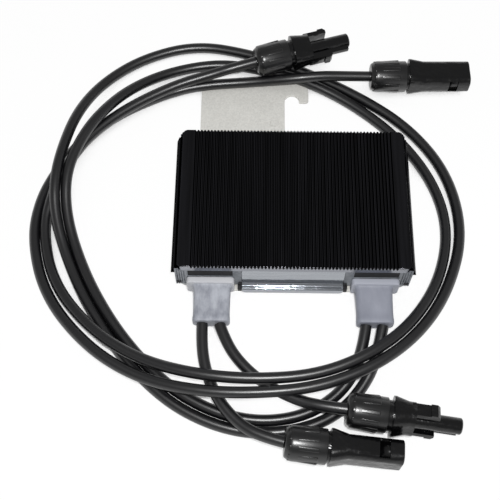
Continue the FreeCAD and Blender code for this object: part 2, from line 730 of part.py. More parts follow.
def cable_gland(label, side):
    """A moulded gland: flange on the tub's face, flat boot in front, neck and keeper behind."""
    body = new_body(label)
    flange_middle = side + "(%s)" % GLAND_MIDDLE
    boot_middle = side + "(%s-boot_shift)" % GLAND_MIDDLE

    def centred(name, offset, width, height, centre, middle=flange_middle):
        sketch = new_sketch(body, name, "XZ_Plane", offset)
        draw_rectangle(sketch, middle + "-(%s)/2" % width, middle + "+(%s)/2" % width,
                       "%s-(%s)/2" % (centre, height), "%s+(%s)/2" % (centre, height))
        return sketch

    front = -(size("lid_depth") / 2 - size("tub_setback") + size("gland_flange_thickness"))
    end = front - size("boot_length")
    boot = centred("boot", TUB_HALF_DEPTH + "+gland_flange_thickness",
                   "boot_width", "boot_height", "lead_height", boot_middle)
    long_pad = pad(body, boot, "boot_length")
    long_pad.setExpression("TaperAngle", cell("-boot_taper"))
    doc.recompute()
    round_edges(body, "boot_corner", lambda edge: edge.Length > 0.99 * size("boot_length")
                and abs(edge.CenterOfMass.y - (front + end) / 2) < 0.1)
    round_edges(body, "boot_end_round", lambda edge: abs(edge.CenterOfMass.y - end) < 0.01)
    flange = centred("flange", TUB_HALF_DEPTH, "gland_flange_width", "gland_flange_height",
                     "gland_flange_base+gland_flange_height/2")
    pad(body, flange, "gland_flange_thickness")
    round_edges(body, "gland_flange_corner", lambda edge: runs_along(edge, BACK)
                and edge.CenterOfMass.y > front)
    across = size("lid_width") * size("gland_share") - size("boot_shift")
    half_width = size("boot_width") / 2
    half_height = size("boot_height") / 2

    def round_the_flange(edge):
        middle_point = edge.CenterOfMass
        under_boot = abs(abs(middle_point.x) - across) < half_width + 0.01 \
            and abs(middle_point.z - size("lead_height")) < half_height + 0.01
        return abs(middle_point.y - front) < 0.01 and not under_boot

    round_edges(body, "gland_flange_round", round_the_flange)
    neck = centred("neck", TUB_HALF_DEPTH, "neck_width", "neck_height", "neck_centre")
    pad(body, neck, "tub_wall", reversed_way=True)
    keeper = centred("keeper", TUB_HALF_DEPTH + "-tub_wall", "keeper_width", "keeper_height", "neck_centre")
    pad(body, keeper, "keeper_thickness", reversed_way=True)
    return body


def gland_clamp(label, side):
    """The dark strip in the recess above a gland."""
    middle = side + GLAND_MIDDLE
    return keep(block(label,
                      (middle + "-clamp_width/2+clamp_play",
                       "-(%s)+clamp_recess-clamp_thickness" % TUB_HALF_DEPTH,
                       GLAND_TOP),
                      ("clamp_width-2*clamp_play", "clamp_thickness",
                       LID_UNDER + "-clamp_play-(" + GLAND_TOP + ")")))


def turned(profile):
    """A solid turned about the X axis from (along, radius) corners."""
    corners = [V(along, radius, 0) for along, radius in profile]
    face = Part.Face(Part.makePolygon(corners + [corners[0]]))
    return face.revolve(V(0, 0, 0), RIGHT, 360)


def screw_group(label, places, shape):
    """Copies of one screw, which stands along Z with its seat at the origin."""
    solids = []
    for across, along, height in places:
        solid = shape.copy()
        solid.translate(V(across, along, height))
        solids.append(solid)
    piece = doc.addObject("Part::Feature", label)
    piece.Shape = Part.makeCompound(solids)
    return keep(piece)


def upright(solid):
    solid.rotate(V(0, 0, 0), BACK, -90)
    return solid


def screws():
    """Lid screws with pan heads, flat-head base screws and short board screws."""
    radius = size("screw_radius")
    head = size("lid_screw_head")
    head_height = size("lid_screw_head_height")
    lid_under = size("lid_top") - size("lid_thickness")
    base = size("tub_base")
    across = size("lid_width") / 2 - size("tub_inset") - size("lid_screw_side")
    along = size("lid_depth") / 2 - size("tub_setback") - size("lid_screw_front")
    reach = lid_under - base + size("lid_screw_grip")
    lid_screw = upright(turned([(-head_height, 0), (-head_height, head - 0.5), (-head_height + 0.5, head),
                                (0, head), (0, radius), (reach, radius), (reach, 0)]))
    corners = [(x, y) for x in (-across, across) for y in (-along, along)]
    screw_group("cover_screws", [(x, y, base) for x, y in corners], lid_screw)
    sink = size("base_screw_head")
    base_screw = upright(turned([(0, 0), (0, sink), (sink - radius, radius),
                                 (size("base_screw_length"), radius), (size("base_screw_length"), 0)]))
    half_x = size("base_screw_apart_x") / 2
    half_y = size("base_screw_apart_y") / 2
    screw_group("bracket_screws",
                [(x, y, 0) for x in (-half_x, half_x) for y in (-half_y, half_y)], base_screw)
    small = size("board_screw_radius")
    small_head = size("board_screw_head")
    depth = size("board_screw_depth") + size("board_thickness")
    board_screw = upright(turned([(-depth, 0), (-depth, small), (0, small), (0, small_head),
                                  (size("board_screw_head_height"), small_head),
                                  (size("board_screw_head_height"), 0)]))
    top = size("shelf_height") + size("board_thickness")
    half_x = size("lid_width") / 2 - size("tub_inset") - size("tub_wall") - size("shelf_width") / 2
    half_y = size("lid_depth") / 2 - size("tub_setback") - size("post_depth") - size("board_end_gap") \
        - size("board_screw_inset")
    screw_group("board_screws",
                [(x, y, top) for x in (-half_x, half_x) for y in (-half_y, half_y)], board_screw)


def circuit_board():
    body = new_body("circuit_board")
    outline = new_sketch(body, "outline", "XY_Plane", "shelf_height")
    draw_centred(outline, BOARD_HALF_WIDTH, BOARD_HALF_DEPTH)
    for across, along in four_corners(BOARD_SCREW_ACROSS, BOARD_SCREW_ALONG):
        draw_circle(outline, across, along, "board_screw_radius+screw_play")
    pad(body, outline, "board_thickness")
    return body


def power_transistors():
    """Four switches in a row, each with its metal tab to the front."""
    pieces = []
    for k in range(4):
        middle = "(%d)*transistor_spacing/2" % (2 * k - 3)
        case = block("transistor_case_%d" % k,
                     (middle + "-transistor_width/2", "spreader_offset-transistor_depth/2", BOARD_TOP),
                     ("transistor_width", "transistor_depth", "transistor_height"))
        tab = block("transistor_tab_%d" % k,
                    (middle + "-transistor_width/2",
                     "spreader_offset-transistor_depth/2-tab_length", BOARD_TOP),
                    ("transistor_width", "tab_length", "tab_sheet"))
        pieces.append(fused("transistor_%d" % k, [case, tab]))
    grouped("power_transistors", pieces)


def heat_path():
    """An aluminium bar on the transistors and a soft pad between it and the lid."""
    low = BOARD_TOP + "+transistor_height"
    pad_low = LID_UNDER + "-pad_thickness"
    corner = ("-spreader_width/2", "spreader_offset-spreader_depth/2")
    keep(block("heat_spreader", corner + (low,),
               ("spreader_width", "spreader_depth", pad_low + "-(%s)" % low)))
    keep(block("thermal_pad", corner + (pad_low,), ("spreader_width", "spreader_depth", "pad_thickness")))


def power_inductor(label, side):
    """A drum core on a square foot, with its winding between two discs."""
    middle = side + "inductor_apart/2"
    foot = block(label + "_foot",
                 (middle + "-inductor_base/2", "inductor_offset-inductor_base/2", BOARD_TOP),
                 ("inductor_base", "inductor_base", "inductor_base_height"))
    winding = standing_rod(label + "_winding",
                           (middle, "inductor_offset", BOARD_TOP + "+inductor_base_height"),
                           "inductor_winding", "inductor_height-inductor_base_height-inductor_cap")
    cap = standing_rod(label + "_cap",
                       (middle, "inductor_offset", BOARD_TOP + "+inductor_height-inductor_cap"),
                       "inductor_core", "inductor_cap")
    return keep(fused(label, [foot, winding, cap]))


def capacitors(label, side):
    """Four round capacitors in a square."""
    pieces = []
    for k, (step_x, step_y) in enumerate(((-1, -1), (-1, 1), (1, -1), (1, 1))):
        centre = (side + "(%s-capacitor_inset)+(%d)*capacitor_spacing/2" % (BOARD_HALF_WIDTH, step_x),
                  "(%d)*capacitor_spacing/2" % step_y, BOARD_TOP)
        pieces.append(standing_rod("%s_%d" % (label, k), centre, "capacitor_radius", "capacitor_height"))
    grouped(label, pieces)


def control_chips():
    """The controller between two gate drivers."""
    pieces = [block("controller", ("-chip_width/2", "chip_offset-chip_width/2", BOARD_TOP),
                    ("chip_width", "chip_width", "chip_height"))]
    for name, side in SIDES.items():
        pieces.append(block("driver_" + name,
                            (side + "driver_offset-driver_width/2", "chip_offset-driver_width/2", BOARD_TOP),
                            ("driver_width", "driver_width", "chip_height")))
    grouped("control_chips", pieces)


def terminals(label, tail_label, side):
    """A terminal block behind a gland, and the two bared lead ends that run into it."""
    middle = side + GLAND_MIDDLE
    start = "-(%s)+tub_wall+keeper_thickness" % TUB_HALF_DEPTH
    keep(block(label, (middle + "-terminal_width/2", start + "+tail_length", BOARD_TOP),
               ("terminal_width", "terminal_depth", "terminal_height")))
    tails = []
    for name, one_side in SIDES.items():
        across = middle + "+(" + one_side + "lead_apart/2)"
        tails.append(lying_rod("%s_%s" % (tail_label, name), (across, start, "neck_centre"),
                               "tail_radius", "tail_length"))
    grouped(tail_label, tails)


def rounded_prism(start, end, across, thick, radius):
    """A prism along X with a rounded rectangular section, across along Y and thick along Z."""
    radius = min(radius, 0.49 * across, 0.49 * thick)
    solid = Part.makeBox(end - start, across, thick, V(start, -across / 2, -thick / 2))
    return solid.makeFillet(radius, [edge for edge in solid.Edges if runs_along(edge, RIGHT)])


def rounded_section(along, across, thick, radius):
    """The outline of such a prism's section, as a wire."""
    prism = rounded_prism(along - 1, along, across, thick, radius)
    end = [face for face in prism.Faces if face.BoundBox.XMin > along - 0.001][0]
    return end.OuterWire


def cap_nut(length):
    """A domed cap nut: a turned shell with a bore for the lead, and raised grip bars."""
    radius = size("nut_radius")
    bore = size("lead_radius") + size("nut_play")
    seal = size("seal_radius") + size("nut_play")
    stub = size("stub_radius") + size("nut_play")
    step = size("seal_step")
    dome = size("nut_dome")
    edge = size("nut_edge")
    depth = size("seal_length")
    shell = turned([(0, bore), (0, size("nut_mouth")), (dome, radius - edge), (2 * dome, radius),
                    (length - edge, radius), (length, radius - edge),
                    (length, stub), (depth, stub), (depth, seal), (step, seal), (step, bore)])
    ramp = size("grip_ramp")
    top = radius + size("grip_rise")
    low = radius - 2 * edge
    end = length - size("grip_end")
    outline = [V(dome - ramp, low, 0), V(dome + ramp, top, 0), V(end - ramp, top, 0), V(end, low, 0)]
    face = Part.Face(Part.makePolygon(outline + [outline[0]]))
    width = size("grip_width")
    bar = face.extrude(V(0, 0, width))
    bar.translate(V(0, 0, -width / 2))
    bar = bar.makeFillet(size("grip_round"), [side for side in bar.Edges if runs_along(side, RIGHT)
                                              and side.BoundBox.YMin > radius])
    count = int(round(size("grip_count")))
    bars = []
    for k in range(count):
        copy = bar.copy()
        copy.rotate(V(0, 0, 0), RIGHT, 360.0 * k / count)
        bars.append(copy)
    return shell.fuse(bars)


def cable_seal():
    """The rubber seal in a cap nut: it grips the lead's end and is squeezed against the body."""
    step = size("seal_step")
    play = size("nut_play")
    radius = size("seal_radius")
    length = size("seal_length")
    return turned([(0, 0), (0, size("lead_radius") + play), (step, size("lead_radius") + play),
                   (step, radius), (length, radius), (length, 0)])


def stub_profile(nut, end):
    """The half outline that both bodies start with: the stub in the cap nut, and the collar beside it."""
    start = size("seal_length")
    stub = size("stub_radius")
    collar = size("collar_radius")
    return [(start, 0), (start, stub), (nut, stub), (nut, collar), (end, collar)]


def plug_body():
    """Threaded stub, collar, flared body, two latch arms and a nose barrel with a key."""
    nut = size("plug_nut_length")
    collar = nut + size("plug_collar")
    ridge = collar + size("plug_ridge")
    rise = size("plug_ridge_rise")
    shoulder = ridge + size("plug_body_length")
    across = size("plug_across")
    thick = size("plug_thick")
    flared = thick + 2 * size("plug_flare")
    radius = size("plug_round")
    nose = size("plug_nose")
    tip = size("plug_length")
    edge = size("plastic_chamfer")
    core = turned(stub_profile(nut, ridge) + [(ridge, nose), (tip - edge, nose), (tip, nose - edge), (tip, 0)])
    flange = rounded_prism(collar, ridge, across + 2 * rise, flared, radius)
    flare_end = ridge + size("plug_flare_length")
    flare = Part.makeLoft([rounded_section(ridge, across + 2 * rise, flared, radius),
                           rounded_section(flare_end, across, thick, radius)], True, True)
    block_body = rounded_prism(ridge, shoulder, across, thick, radius)
    key_width = size("plug_key_width")
    key_end = tip - size("plug_key_inset")
    key = Part.makeBox(key_end - ridge, size("plug_key_reach"), key_width,
                       V(ridge, -size("plug_key_reach"), -key_width / 2))
    return core.fuse([flange, flare, block_body, key] + latch_arms(shoulder)).removeSplitter()


def latch_arms(shoulder):
    """Two springy arms with hooked ends, along the plug's two narrow sides."""
    reach = size("arm_reach")
    inner = reach - size("arm_thickness")
    top = reach + size("arm_hook")
    end = size("arm_end")
    start = shoulder - size("arm_root")
    back = end - size("arm_hook_length")
    nose = size("arm_hook_nose")
    outline = [(start, inner), (end, inner), (end, top - nose), (end - nose, top),
               (back, top), (back, reach), (start, reach)]
    width = size("arm_width")
    arms = []
    for way in (1, -1):
        corners = [V(along, way * out, -width / 2) for along, out in outline]
        arms.append(Part.Face(Part.makePolygon(corners + [corners[0]])).extrude(V(0, 0, width)))
    return arms


def socket_body():
    """Threaded stub, collar and a thick body with two latch windows, a deep mouth and a keyed bore."""
    nut = size("socket_nut_length")
    collar = nut + size("socket_collar")
    ridge = collar + size("socket_ridge")
    across = size("socket_across")
    thick = size("socket_thick")
    radius = size("socket_round")
    wide = across + 2 * size("socket_ridge_rise")
    flared = thick + 2 * size("socket_flare")
    flare_end = ridge + size("socket_flare_length")
    tip = size("socket_length")
    core = turned(stub_profile(nut, ridge) + [(ridge, 0)])
    rim = rounded_prism(collar, ridge, wide, flared, radius)
    cone = Part.makeLoft([rounded_section(ridge, wide, flared, radius),
                          rounded_section(flare_end, across, thick, radius)], True, True)
    barrel = rounded_prism(flare_end, tip, across, thick, radius)
    face_round = size("socket_face_round")
    barrel = barrel.makeFillet(face_round, [edge for edge in barrel.Edges
                                            if edge.BoundBox.XMin > tip - face_round])
    body = core.fuse([rim, cone, barrel])
    cuts = []
    window = size("window_width")
    start = tip - size("window_from_end") - size("window_length")
    depth = size("window_depth")
    for edge_at in (across / 2 - depth, -across / 2):
        cuts.append(Part.makeBox(size("window_length"), depth, window, V(start, edge_at, -window / 2)))
    mouth = size("mouth_depth")
    cuts.append(rounded_prism(tip - mouth, tip + 1, size("mouth_width"), size("mouth_height"),
                              size("mouth_round")))
    bore_depth = size("socket_bore_depth")
    cuts.append(Part.makeCylinder(size("socket_bore"), bore_depth, V(tip - bore_depth, 0, 0), RIGHT))
    slot = size("socket_slot_width")
    cuts.append(Part.makeBox(bore_depth, size("socket_slot_reach"), slot,
                             V(tip - bore_depth, 0, -slot / 2)))
    return body.cut(cuts).removeSplitter()


def contact(start, end, radius, hollow_radius, hollow_depth):
    """A turned metal contact, with a bore in its tip where hollow_depth isn't zero."""
    edge = size("contact_chamfer")
    profile = [(start, 0), (start, radius), (end - edge, radius), (end, radius - edge)]
    if hollow_depth:
        profile += [(end, hollow_radius), (end - hollow_depth, hollow_radius), (end - hollow_depth, 0)]
    else:
        profile += [(end, 0)]
    return turned(profile)


def seat_for(start, end, radius):
    """The hole that a contact fills in its body, a little wider than the contact."""
    return Part.makeCylinder(radius + size("contact_play"), end - start, V(start, 0, 0), RIGHT)


def plug_pieces():
    start = size("contact_start")
    tip = size("plug_length")
    radius = size("contact_radius")
    hollow = size("pin_radius") + size("contact_play")
    body = plug_body().cut(seat_for(start, tip + 1, radius))
    return {"nut": cap_nut(size("plug_nut_length")), "seal": cable_seal(), "body": body,
            "contact": contact(start, tip - 1, radius, hollow, size("plug_bore_depth"))}


def socket_pieces():
    start = size("contact_start")
    floor = size("socket_length") - size("socket_bore_depth")
    radius = size("pin_radius")
    body = socket_body().cut(seat_for(start, floor + 1, radius))
    return {"nut": cap_nut(size("socket_nut_length")), "seal": cable_seal(), "body": body,
            "contact": contact(start, size("socket_pin_end"), radius, 0, 0)}


def connector(label, kind, start, way):
    """A connector's pieces, set with their common axis at the lead's end."""
    pieces = plug_pieces() if kind == "plug" else socket_pieces()
    for name, shape in pieces.items():
        piece = doc.addObject("Part::Feature", "%s_%s" % (label, name))
        piece.Shape = shape
        piece.Placement = FreeCAD.Placement(start, way)
        keep(piece)


def tube_path(label, points):
    """Straight runs joined by tangent arcs, each arc as large as its two runs allow."""
    corners = [V(*point) for point in points]
    edges = []
    radii = []
    last = corners[0]
    for before, corner, after in zip(corners, corners[1:], corners[2:]):
        to_before = (before - corner).normalize()
        to_after = (after - corner).normalize()
        turn = math.pi - to_before.getAngle(to_after)
        reach = 0.45 * min((before - corner).Length, (after - corner).Length)
        radius = reach / math.tan(turn / 2)
        inward = (to_before + to_after).normalize()
        middle = corner + inward * (math.hypot(reach, radius) - radius)
        entry = corner + to_before * reach
        leave = corner + to_after * reach
        edges.append(Part.LineSegment(last, entry).toShape())
        edges.append(Part.Arc(entry, middle, leave).toShape())
        radii.append(radius)
        last = leave
    edges.append(Part.LineSegment(last, corners[-1]).toShape())
    print(label, "radii:", " ".join("%.0f" % radius for radius in radii))
    return Part.Wire(edges)


def moved_out(point):
    """A route's point, moved outwards with the housing's sides where the housing is resized."""
    x, y, z = point
    wider = size("lid_width") / 2 - ROUTE_HALF_WIDTH
    deeper = size("lid_depth") / 2 - ROUTE_HALF_DEPTH
    return (x + wider * max(-1, min(1, x / ROUTE_HALF_WIDTH)),
            y + deeper * max(-1, min(1, y / ROUTE_HALF_DEPTH)), z)


def lengthened(points, reach):
    """The route with both its end points moved out along their runs."""
    corners = [V(*point) for point in points]
    first = corners[0] + (corners[0] - corners[1]).normalize() * reach
    last = corners[-1] + (corners[-1] - corners[-2]).normalize() * reach
    return [tuple(first)] + list(points[1:-1]) + [tuple(last)]


def lead(label, points, way):
    """One lead: a tube along its route, trimmed flush with the gland and with its connector."""
    radius = size("lead_radius")
    longer = lengthened(points, radius / 2)
    path = tube_path(label, longer)
    start = V(*longer[0])
    ring = Part.Wire(Part.makeCircle(radius, start, V(*longer[1]) - start))
    solid = path.makePipeShell([ring], True, False)
    expected = math.pi * radius ** 2 * path.Length
    print(label, "length %.1f" % (path.Length - radius),
          "volume %.4f of section times length" % (solid.Volume / expected))
    side = 4 * radius
    x, y, z = points[0]
    gland_end = Part.makeBox(side, side, side, V(x - side / 2, y, z - side / 2))
    connector_end = Part.makeBox(side, side, side, V(0, -side / 2, -side / 2))
    connector_end.Placement = FreeCAD.Placement(V(*points[-1]), way)
    piece = doc.addObject("Part::Feature", label)
    piece.Shape = solid.cut([gland_end, connector_end]).Solids[0]
    return keep(piece)


def build():
    heatsink_cover()
    housing_tub()
    cover_gasket()
    front_plate()
    mounting_bracket()
    cable_gland("input_gland", SIDES["left"])
    cable_gland("output_gland", SIDES["right"])
    for name, side in SIDES.items():
        gland_clamp("gland_clamp_" + name, side)
    screws()
    circuit_board()
    power_transistors()
    heat_path()
    for name, side in SIDES.items():
        power_inductor("inductor_" + name, side)
    capacitors("input_capacitors", SIDES["left"])
    capacitors("output_capacitors", SIDES["right"])
    control_chips()
    terminals("input_terminals", "input_tails", SIDES["left"])
    terminals("output_terminals", "output_tails", SIDES["right"])
    for label, (kind, route, turn, dip, roll) in CONNECTORS.items():
        way = FreeCAD.Rotation(UP, turn) * FreeCAD.Rotation(BACK, dip) * FreeCAD.Rotation(RIGHT, roll)
        points = [moved_out(point) for point in route]
        lead(label + "_lead", points, way)
        connector(label, kind, V(*points[-1]), way)


def write_parts():
    """Checks every object of the document, and then writes each node to a file of its own."""
    doc.recompute()
    for piece in doc.Objects:
        if "Invalid" in piece.State or "Error" in piece.State:
            raise ValueError("%s failed: %s" % (piece.Label, piece.State))
    for piece in nodes:
        if piece.Shape.isNull() or not piece.Shape.isValid() or piece.Shape.Volume < 1:
            raise ValueError(piece.Label + " has no valid shape")
    os.makedirs("parts", exist_ok=True)
    for piece in nodes:
        piece.Shape.exportStep(os.path.join("parts", piece.Label + ".step"))
        print("%-24s solids %d  volume %.1f" % (piece.Label, len(piece.Shape.Solids), piece.Shape.Volume))


fill_sheet()
build()
write_parts()
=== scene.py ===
import math

import bmesh
import bpy
from bpy.props import FloatProperty, IntProperty, PointerProperty, StringProperty
from mathutils import Matrix, Vector


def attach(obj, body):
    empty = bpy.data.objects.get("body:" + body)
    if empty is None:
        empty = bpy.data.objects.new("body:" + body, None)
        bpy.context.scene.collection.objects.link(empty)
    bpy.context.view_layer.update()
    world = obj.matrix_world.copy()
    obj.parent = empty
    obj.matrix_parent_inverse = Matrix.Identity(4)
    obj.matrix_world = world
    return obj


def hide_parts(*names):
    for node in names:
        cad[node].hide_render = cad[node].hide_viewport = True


bl_info = {
    "name": "Power Optimizer Dressing",
    "version": (1, 0, 0),
    "blender": (4, 5, 0),
    "location": "3D View > Sidebar > Power Optimizer",
    "description": "Dresses the power optimizer's solids with leads, connectors and materials",
    "category": "Object",
}

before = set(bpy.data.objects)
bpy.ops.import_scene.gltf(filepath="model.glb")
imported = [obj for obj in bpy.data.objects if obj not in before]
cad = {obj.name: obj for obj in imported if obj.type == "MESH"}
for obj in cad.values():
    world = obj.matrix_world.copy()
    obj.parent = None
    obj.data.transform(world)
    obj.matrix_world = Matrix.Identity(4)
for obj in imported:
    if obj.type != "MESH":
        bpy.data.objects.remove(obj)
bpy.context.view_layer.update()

MM = 0.001

# How copies of the solids are cleaned and rounded: a length in millimetres, and angles in degrees
MERGE_DISTANCE = 0.003
FLAT_ANGLE = 0.6
SHARP_ANGLE = 32
BEVEL_ANGLE = 38

# Depths in millimetres over which a material turns to its other colour: towards the lid's sawn front, and
# from a gland's boot to its flange
LID_FRONT_BAND = (-40.9, -41.2)
GLAND_FLANGE_BAND = (-44.9, -44.5)

# The leads' routes in millimetres, from gland to connector: the control points of their splines
ROUTES = {
    "input_socket": [
        (-47, -65.5, 9.6), (-47, -77, 9.5), (-44.2, -91.5, 9.4), (-38, -105.5, 9.4),
        (-27.8, -117.4, 10.2), (-16.7, -124.2, 12), (-4.7, -127.3, 12.8),
    ],
    "input_plug": [
        (-38, -65.5, 9.6), (-34.3, -75.8, 9.6), (-26.5, -87, 9.6), (-14.5, -97.5, 9.7),
        (2.5, -106.3, 11.6), (15, -110, 15.2), (26, -111.4, 15.8),
    ],
    "output_plug": [
        (37.7, -65.5, 9.6), (35.5, -79.3, 8.4), (27, -97.5, 4), (8, -111, 3), (-16, -115.3, 3),
        (-40, -110.4, 3), (-63.4, -97.6, 3), (-87.1, -73.8, 3), (-105.7, -46.3, 3), (-118, -20.1, 3.5),
        (-124, 0, 8.5), (-124.8, 18, 14.5), (-120.5, 36, 16.3), (-110.5, 56.5, 16.4), (-94.5, 80, 9.3),
        (-71, 97, 3.3), (-41, 103.5, 3), (-13.5, 98, 3.3), (8.5, 90, 5.4), (36, 75.5, 3), (62, 52, 3),
        (79.5, 24, 3), (86, -5.5, 3), (79, -37, 5), (61, -65.6, 14), (38.5, -83.6, 17.5),
        (12, -94.5, 17.3), (-19, -97.3, 17.3), (-49, -94.8, 16.5), (-78, -86, 11.5), (-104, -70, 9.6),
        (-127.8, -41.4, 4), (-136.6, -9.5, 3), (-132.6, 13, 7.5), (-125.4, 30.4, 9.4),
        (-114.5, 49, 9.4), (-94.5, 67, 9.4), (-68, 82.3, 10.1), (-47, 88.6, 12.2), (-33.2, 91.5, 15.6),
        (-20.7, 95.2, 16.2),
    ],
    "output_socket": [
        (46.5, -65.5, 9.6), (43.7, -78.6, 8.2), (38, -93.5, 5), (25, -109, 3), (6, -118.5, 3),
        (-18.5, -121.3, 3), (-41.8, -116.5, 3), (-65.6, -104, 3), (-89.6, -80.4, 3), (-109.5, -51.7, 3),
        (-122.5, -25, 3.5), (-129.5, -3, 9.5), (-130.6, 15, 15.7), (-128.5, 35, 15.7), (-123, 63, 11),
        (-110.5, 88, 4.5), (-88, 106.5, 3), (-57, 116.5, 3), (-24.5, 110.5, 3), (7, 98.5, 3),
        (39, 81.3, 3), (68, 59.5, 3), (88, 29.5, 3), (94, -7.5, 3), (83.6, -41.8, 5.6),
        (65.5, -69.6, 13.2), (41.5, -89.05, 16.7), (12, -101, 17.4), (-19, -104.3, 17.4),
        (-47.5, -103.2, 15.8), (-77.8, -95.6, 10.8), (-105.6, -79, 9.6), (-131.5, -48.5, 3.5),
        (-142, -15.5, 3), (-140.3, 9.5, 3), (-131.7, 30.5, 3), (-120, 49, 3), (-101, 66.5, 3),
        (-73, 81.3, 3.4), (-52, 86.2, 5.1), (-24, 88.7, 4.9), (1, 87.2, 11.2), (17, 89, 11.6),
        (32, 89.9, 10.4), (46.4, 90.2, 9.9),
    ],
}

# Each connector: its kind, and how its axis turns about Z, dips and rolls, in degrees
CONNECTORS = {
    "input_socket": ("socket", -5.0, 3.2, 85.0),
    "input_plug": ("plug", -7.5, 2.3, 70.0),
    "output_plug": ("plug", 16.7, 0.0, 8.0),
    "output_socket": ("socket", 1.1, 0.5, 0.0),
}

# The length of each kind's cap nut, in millimetres
NUT_LENGTHS = {"plug": 19.5, "socket": 20.6}


def linear(colour):
    """An sRGB hex colour as linear red, green, blue and alpha."""
    channels = [int(colour[k:k + 2], 16) / 255 for k in (1, 3, 5)]
    return tuple(c / 12.92 if c <= 0.04045 else ((c + 0.055) / 1.055) ** 2.4 for c in channels) + (1,)


def cells(width):
    """The scale of a pattern whose cells are this many millimetres wide."""
    return 1 / (width * MM)


def add_node(tree, kind, settings, inputs):
    """Adds a node. settings are its own properties, and inputs are its sockets' values or what feeds them.
    The stops of a colour ramp are given as pairs of a position and a hex colour."""
    node = tree.nodes.new(kind)
    for name, value in settings.items():
        if name == "color_ramp":
            for stop, (position, colour) in zip(node.color_ramp.elements, value):
                stop.position, stop.color = position, linear(colour)
        else:
            setattr(node, name, value)
    for name, value in inputs.items():
        if isinstance(value, bpy.types.NodeSocket):
            tree.links.new(value, node.inputs[name])
        else:
            node.inputs[name].default_value = value
    return node


def new_material(name, colour, roughness, metallic=0.0, **sockets):
    """A material with its one shader, and that shader's settings that are the same all over."""
    material = bpy.data.materials.new(name)
    material.use_nodes = True
    material.diffuse_color = linear(colour)
    tree = material.node_tree
    shader = tree.nodes["Principled BSDF"]
    shader.inputs["Base Color"].default_value = linear(colour)
    shader.inputs["Roughness"].default_value = roughness
    shader.inputs["Metallic"].default_value = metallic
    for socket, value in sockets.items():
        shader.inputs[socket.replace("_", " ")].default_value = value
    where = add_node(tree, "ShaderNodeTexCoord", {}, {}).outputs["Object"]
    return material, tree, shader, where


def toned_by_depth(tree, where, colour, other, band):
    """A colour that turns to another one along Y, over a band between two depths in millimetres."""
    place = add_node(tree, "ShaderNodeSeparateXYZ", {}, {"Vector": where})
    share = add_node(tree, "ShaderNodeMapRange", {}, {
        "Value": place.outputs["Y"], "From Min": band[0] * MM, "From Max": band[1] * MM})
    both = add_node(tree, "ShaderNodeMix", {"data_type": "RGBA"}, {
        0: share.outputs["Result"], 6: colour, 7: linear(other)})
    return both.outputs[2]


def cast_aluminium():
    """Die-cast aluminium: matt from its mould, with darker patches where it has oxidised.

    The mould's grain is drawn coarser than it is, so that it shows."""
    material, tree, shader, where = new_material("die_cast_aluminium", "#7C8186", 0.5, 0.4)
    patches = add_node(tree, "ShaderNodeTexNoise", {}, {"Vector": where, "Scale": cells(6.25), "Detail": 4.0})
    tone = add_node(tree, "ShaderNodeValToRGB", {"color_ramp": ((0.3, "#62666C"), (0.7, "#8C9096"))},
                    {"Fac": patches.outputs["Fac"]})
    tree.links.new(tone.outputs["Color"], shader.inputs["Base Color"])
    grain = add_node(tree, "ShaderNodeTexNoise", {}, {"Vector": where, "Scale": cells(0.833), "Detail": 2.0})
    bump = add_node(tree, "ShaderNodeBump", {}, {
        "Strength": 0.3, "Distance": 0.2 * MM, "Height": grain.outputs["Fac"]})
    tree.links.new(bump.outputs["Normal"], shader.inputs["Normal"])
    return material


def anodised_aluminium():
    """Black anodised extrusion: a dyed oxide, satin and near black, with barer metal at its sawn front.

    The extrusion's streaks along the ribs are drawn wider than they are, so that they show."""
    material, tree, shader, where = new_material("black_anodised_aluminium", "#222225", 0.22, 1.0,
                                                 Specular_Tint=linear("#484848"))
    streaks = add_node(tree, "ShaderNodeMapping", {}, {"Vector": where, "Scale": (1.0, 0.03, 1.0)})
    cloud = add_node(tree, "ShaderNodeTexNoise", {}, {
        "Vector": streaks.outputs["Vector"], "Scale": cells(2.22), "Detail": 3.0})
    tone = add_node(tree, "ShaderNodeValToRGB", {"color_ramp": ((0.35, "#28282A"), (0.75, "#3A3A3E"))},
                    {"Fac": cloud.outputs["Fac"]})
    tree.links.new(toned_by_depth(tree, where, tone.outputs["Color"], "#B4B6BC", LID_FRONT_BAND),
                   shader.inputs["Base Color"])
    return material


def galvanised_steel():
    """Galvanised sheet: zinc's fine spangle gives small pale and grey flakes in a matt, pale surface."""
    material, tree, shader, where = new_material("galvanised_steel", "#D2D1CC", 0.55)
    spangle = add_node(tree, "ShaderNodeTexVoronoi", {"feature": "F1"}, {
        "Vector": where, "Scale": cells(0.77)})
    shade = add_node(tree, "ShaderNodeSeparateColor", {}, {"Color": spangle.outputs["Color"]})
    cloud = add_node(tree, "ShaderNodeTexNoise", {}, {"Vector": where, "Scale": cells(16.7), "Detail": 5.0})
    blend = add_node(tree, "ShaderNodeMix", {"data_type": "FLOAT"},
                     {"Factor": 0.5, "A": shade.outputs["Red"], "B": cloud.outputs["Fac"]})
    tone = add_node(tree, "ShaderNodeValToRGB", {"color_ramp": ((0.15, "#C8C7C2"), (0.85, "#DBDAD5"))},
                    {"Fac": blend.outputs["Result"]})
    tree.links.new(tone.outputs["Color"], shader.inputs["Base Color"])
    return material


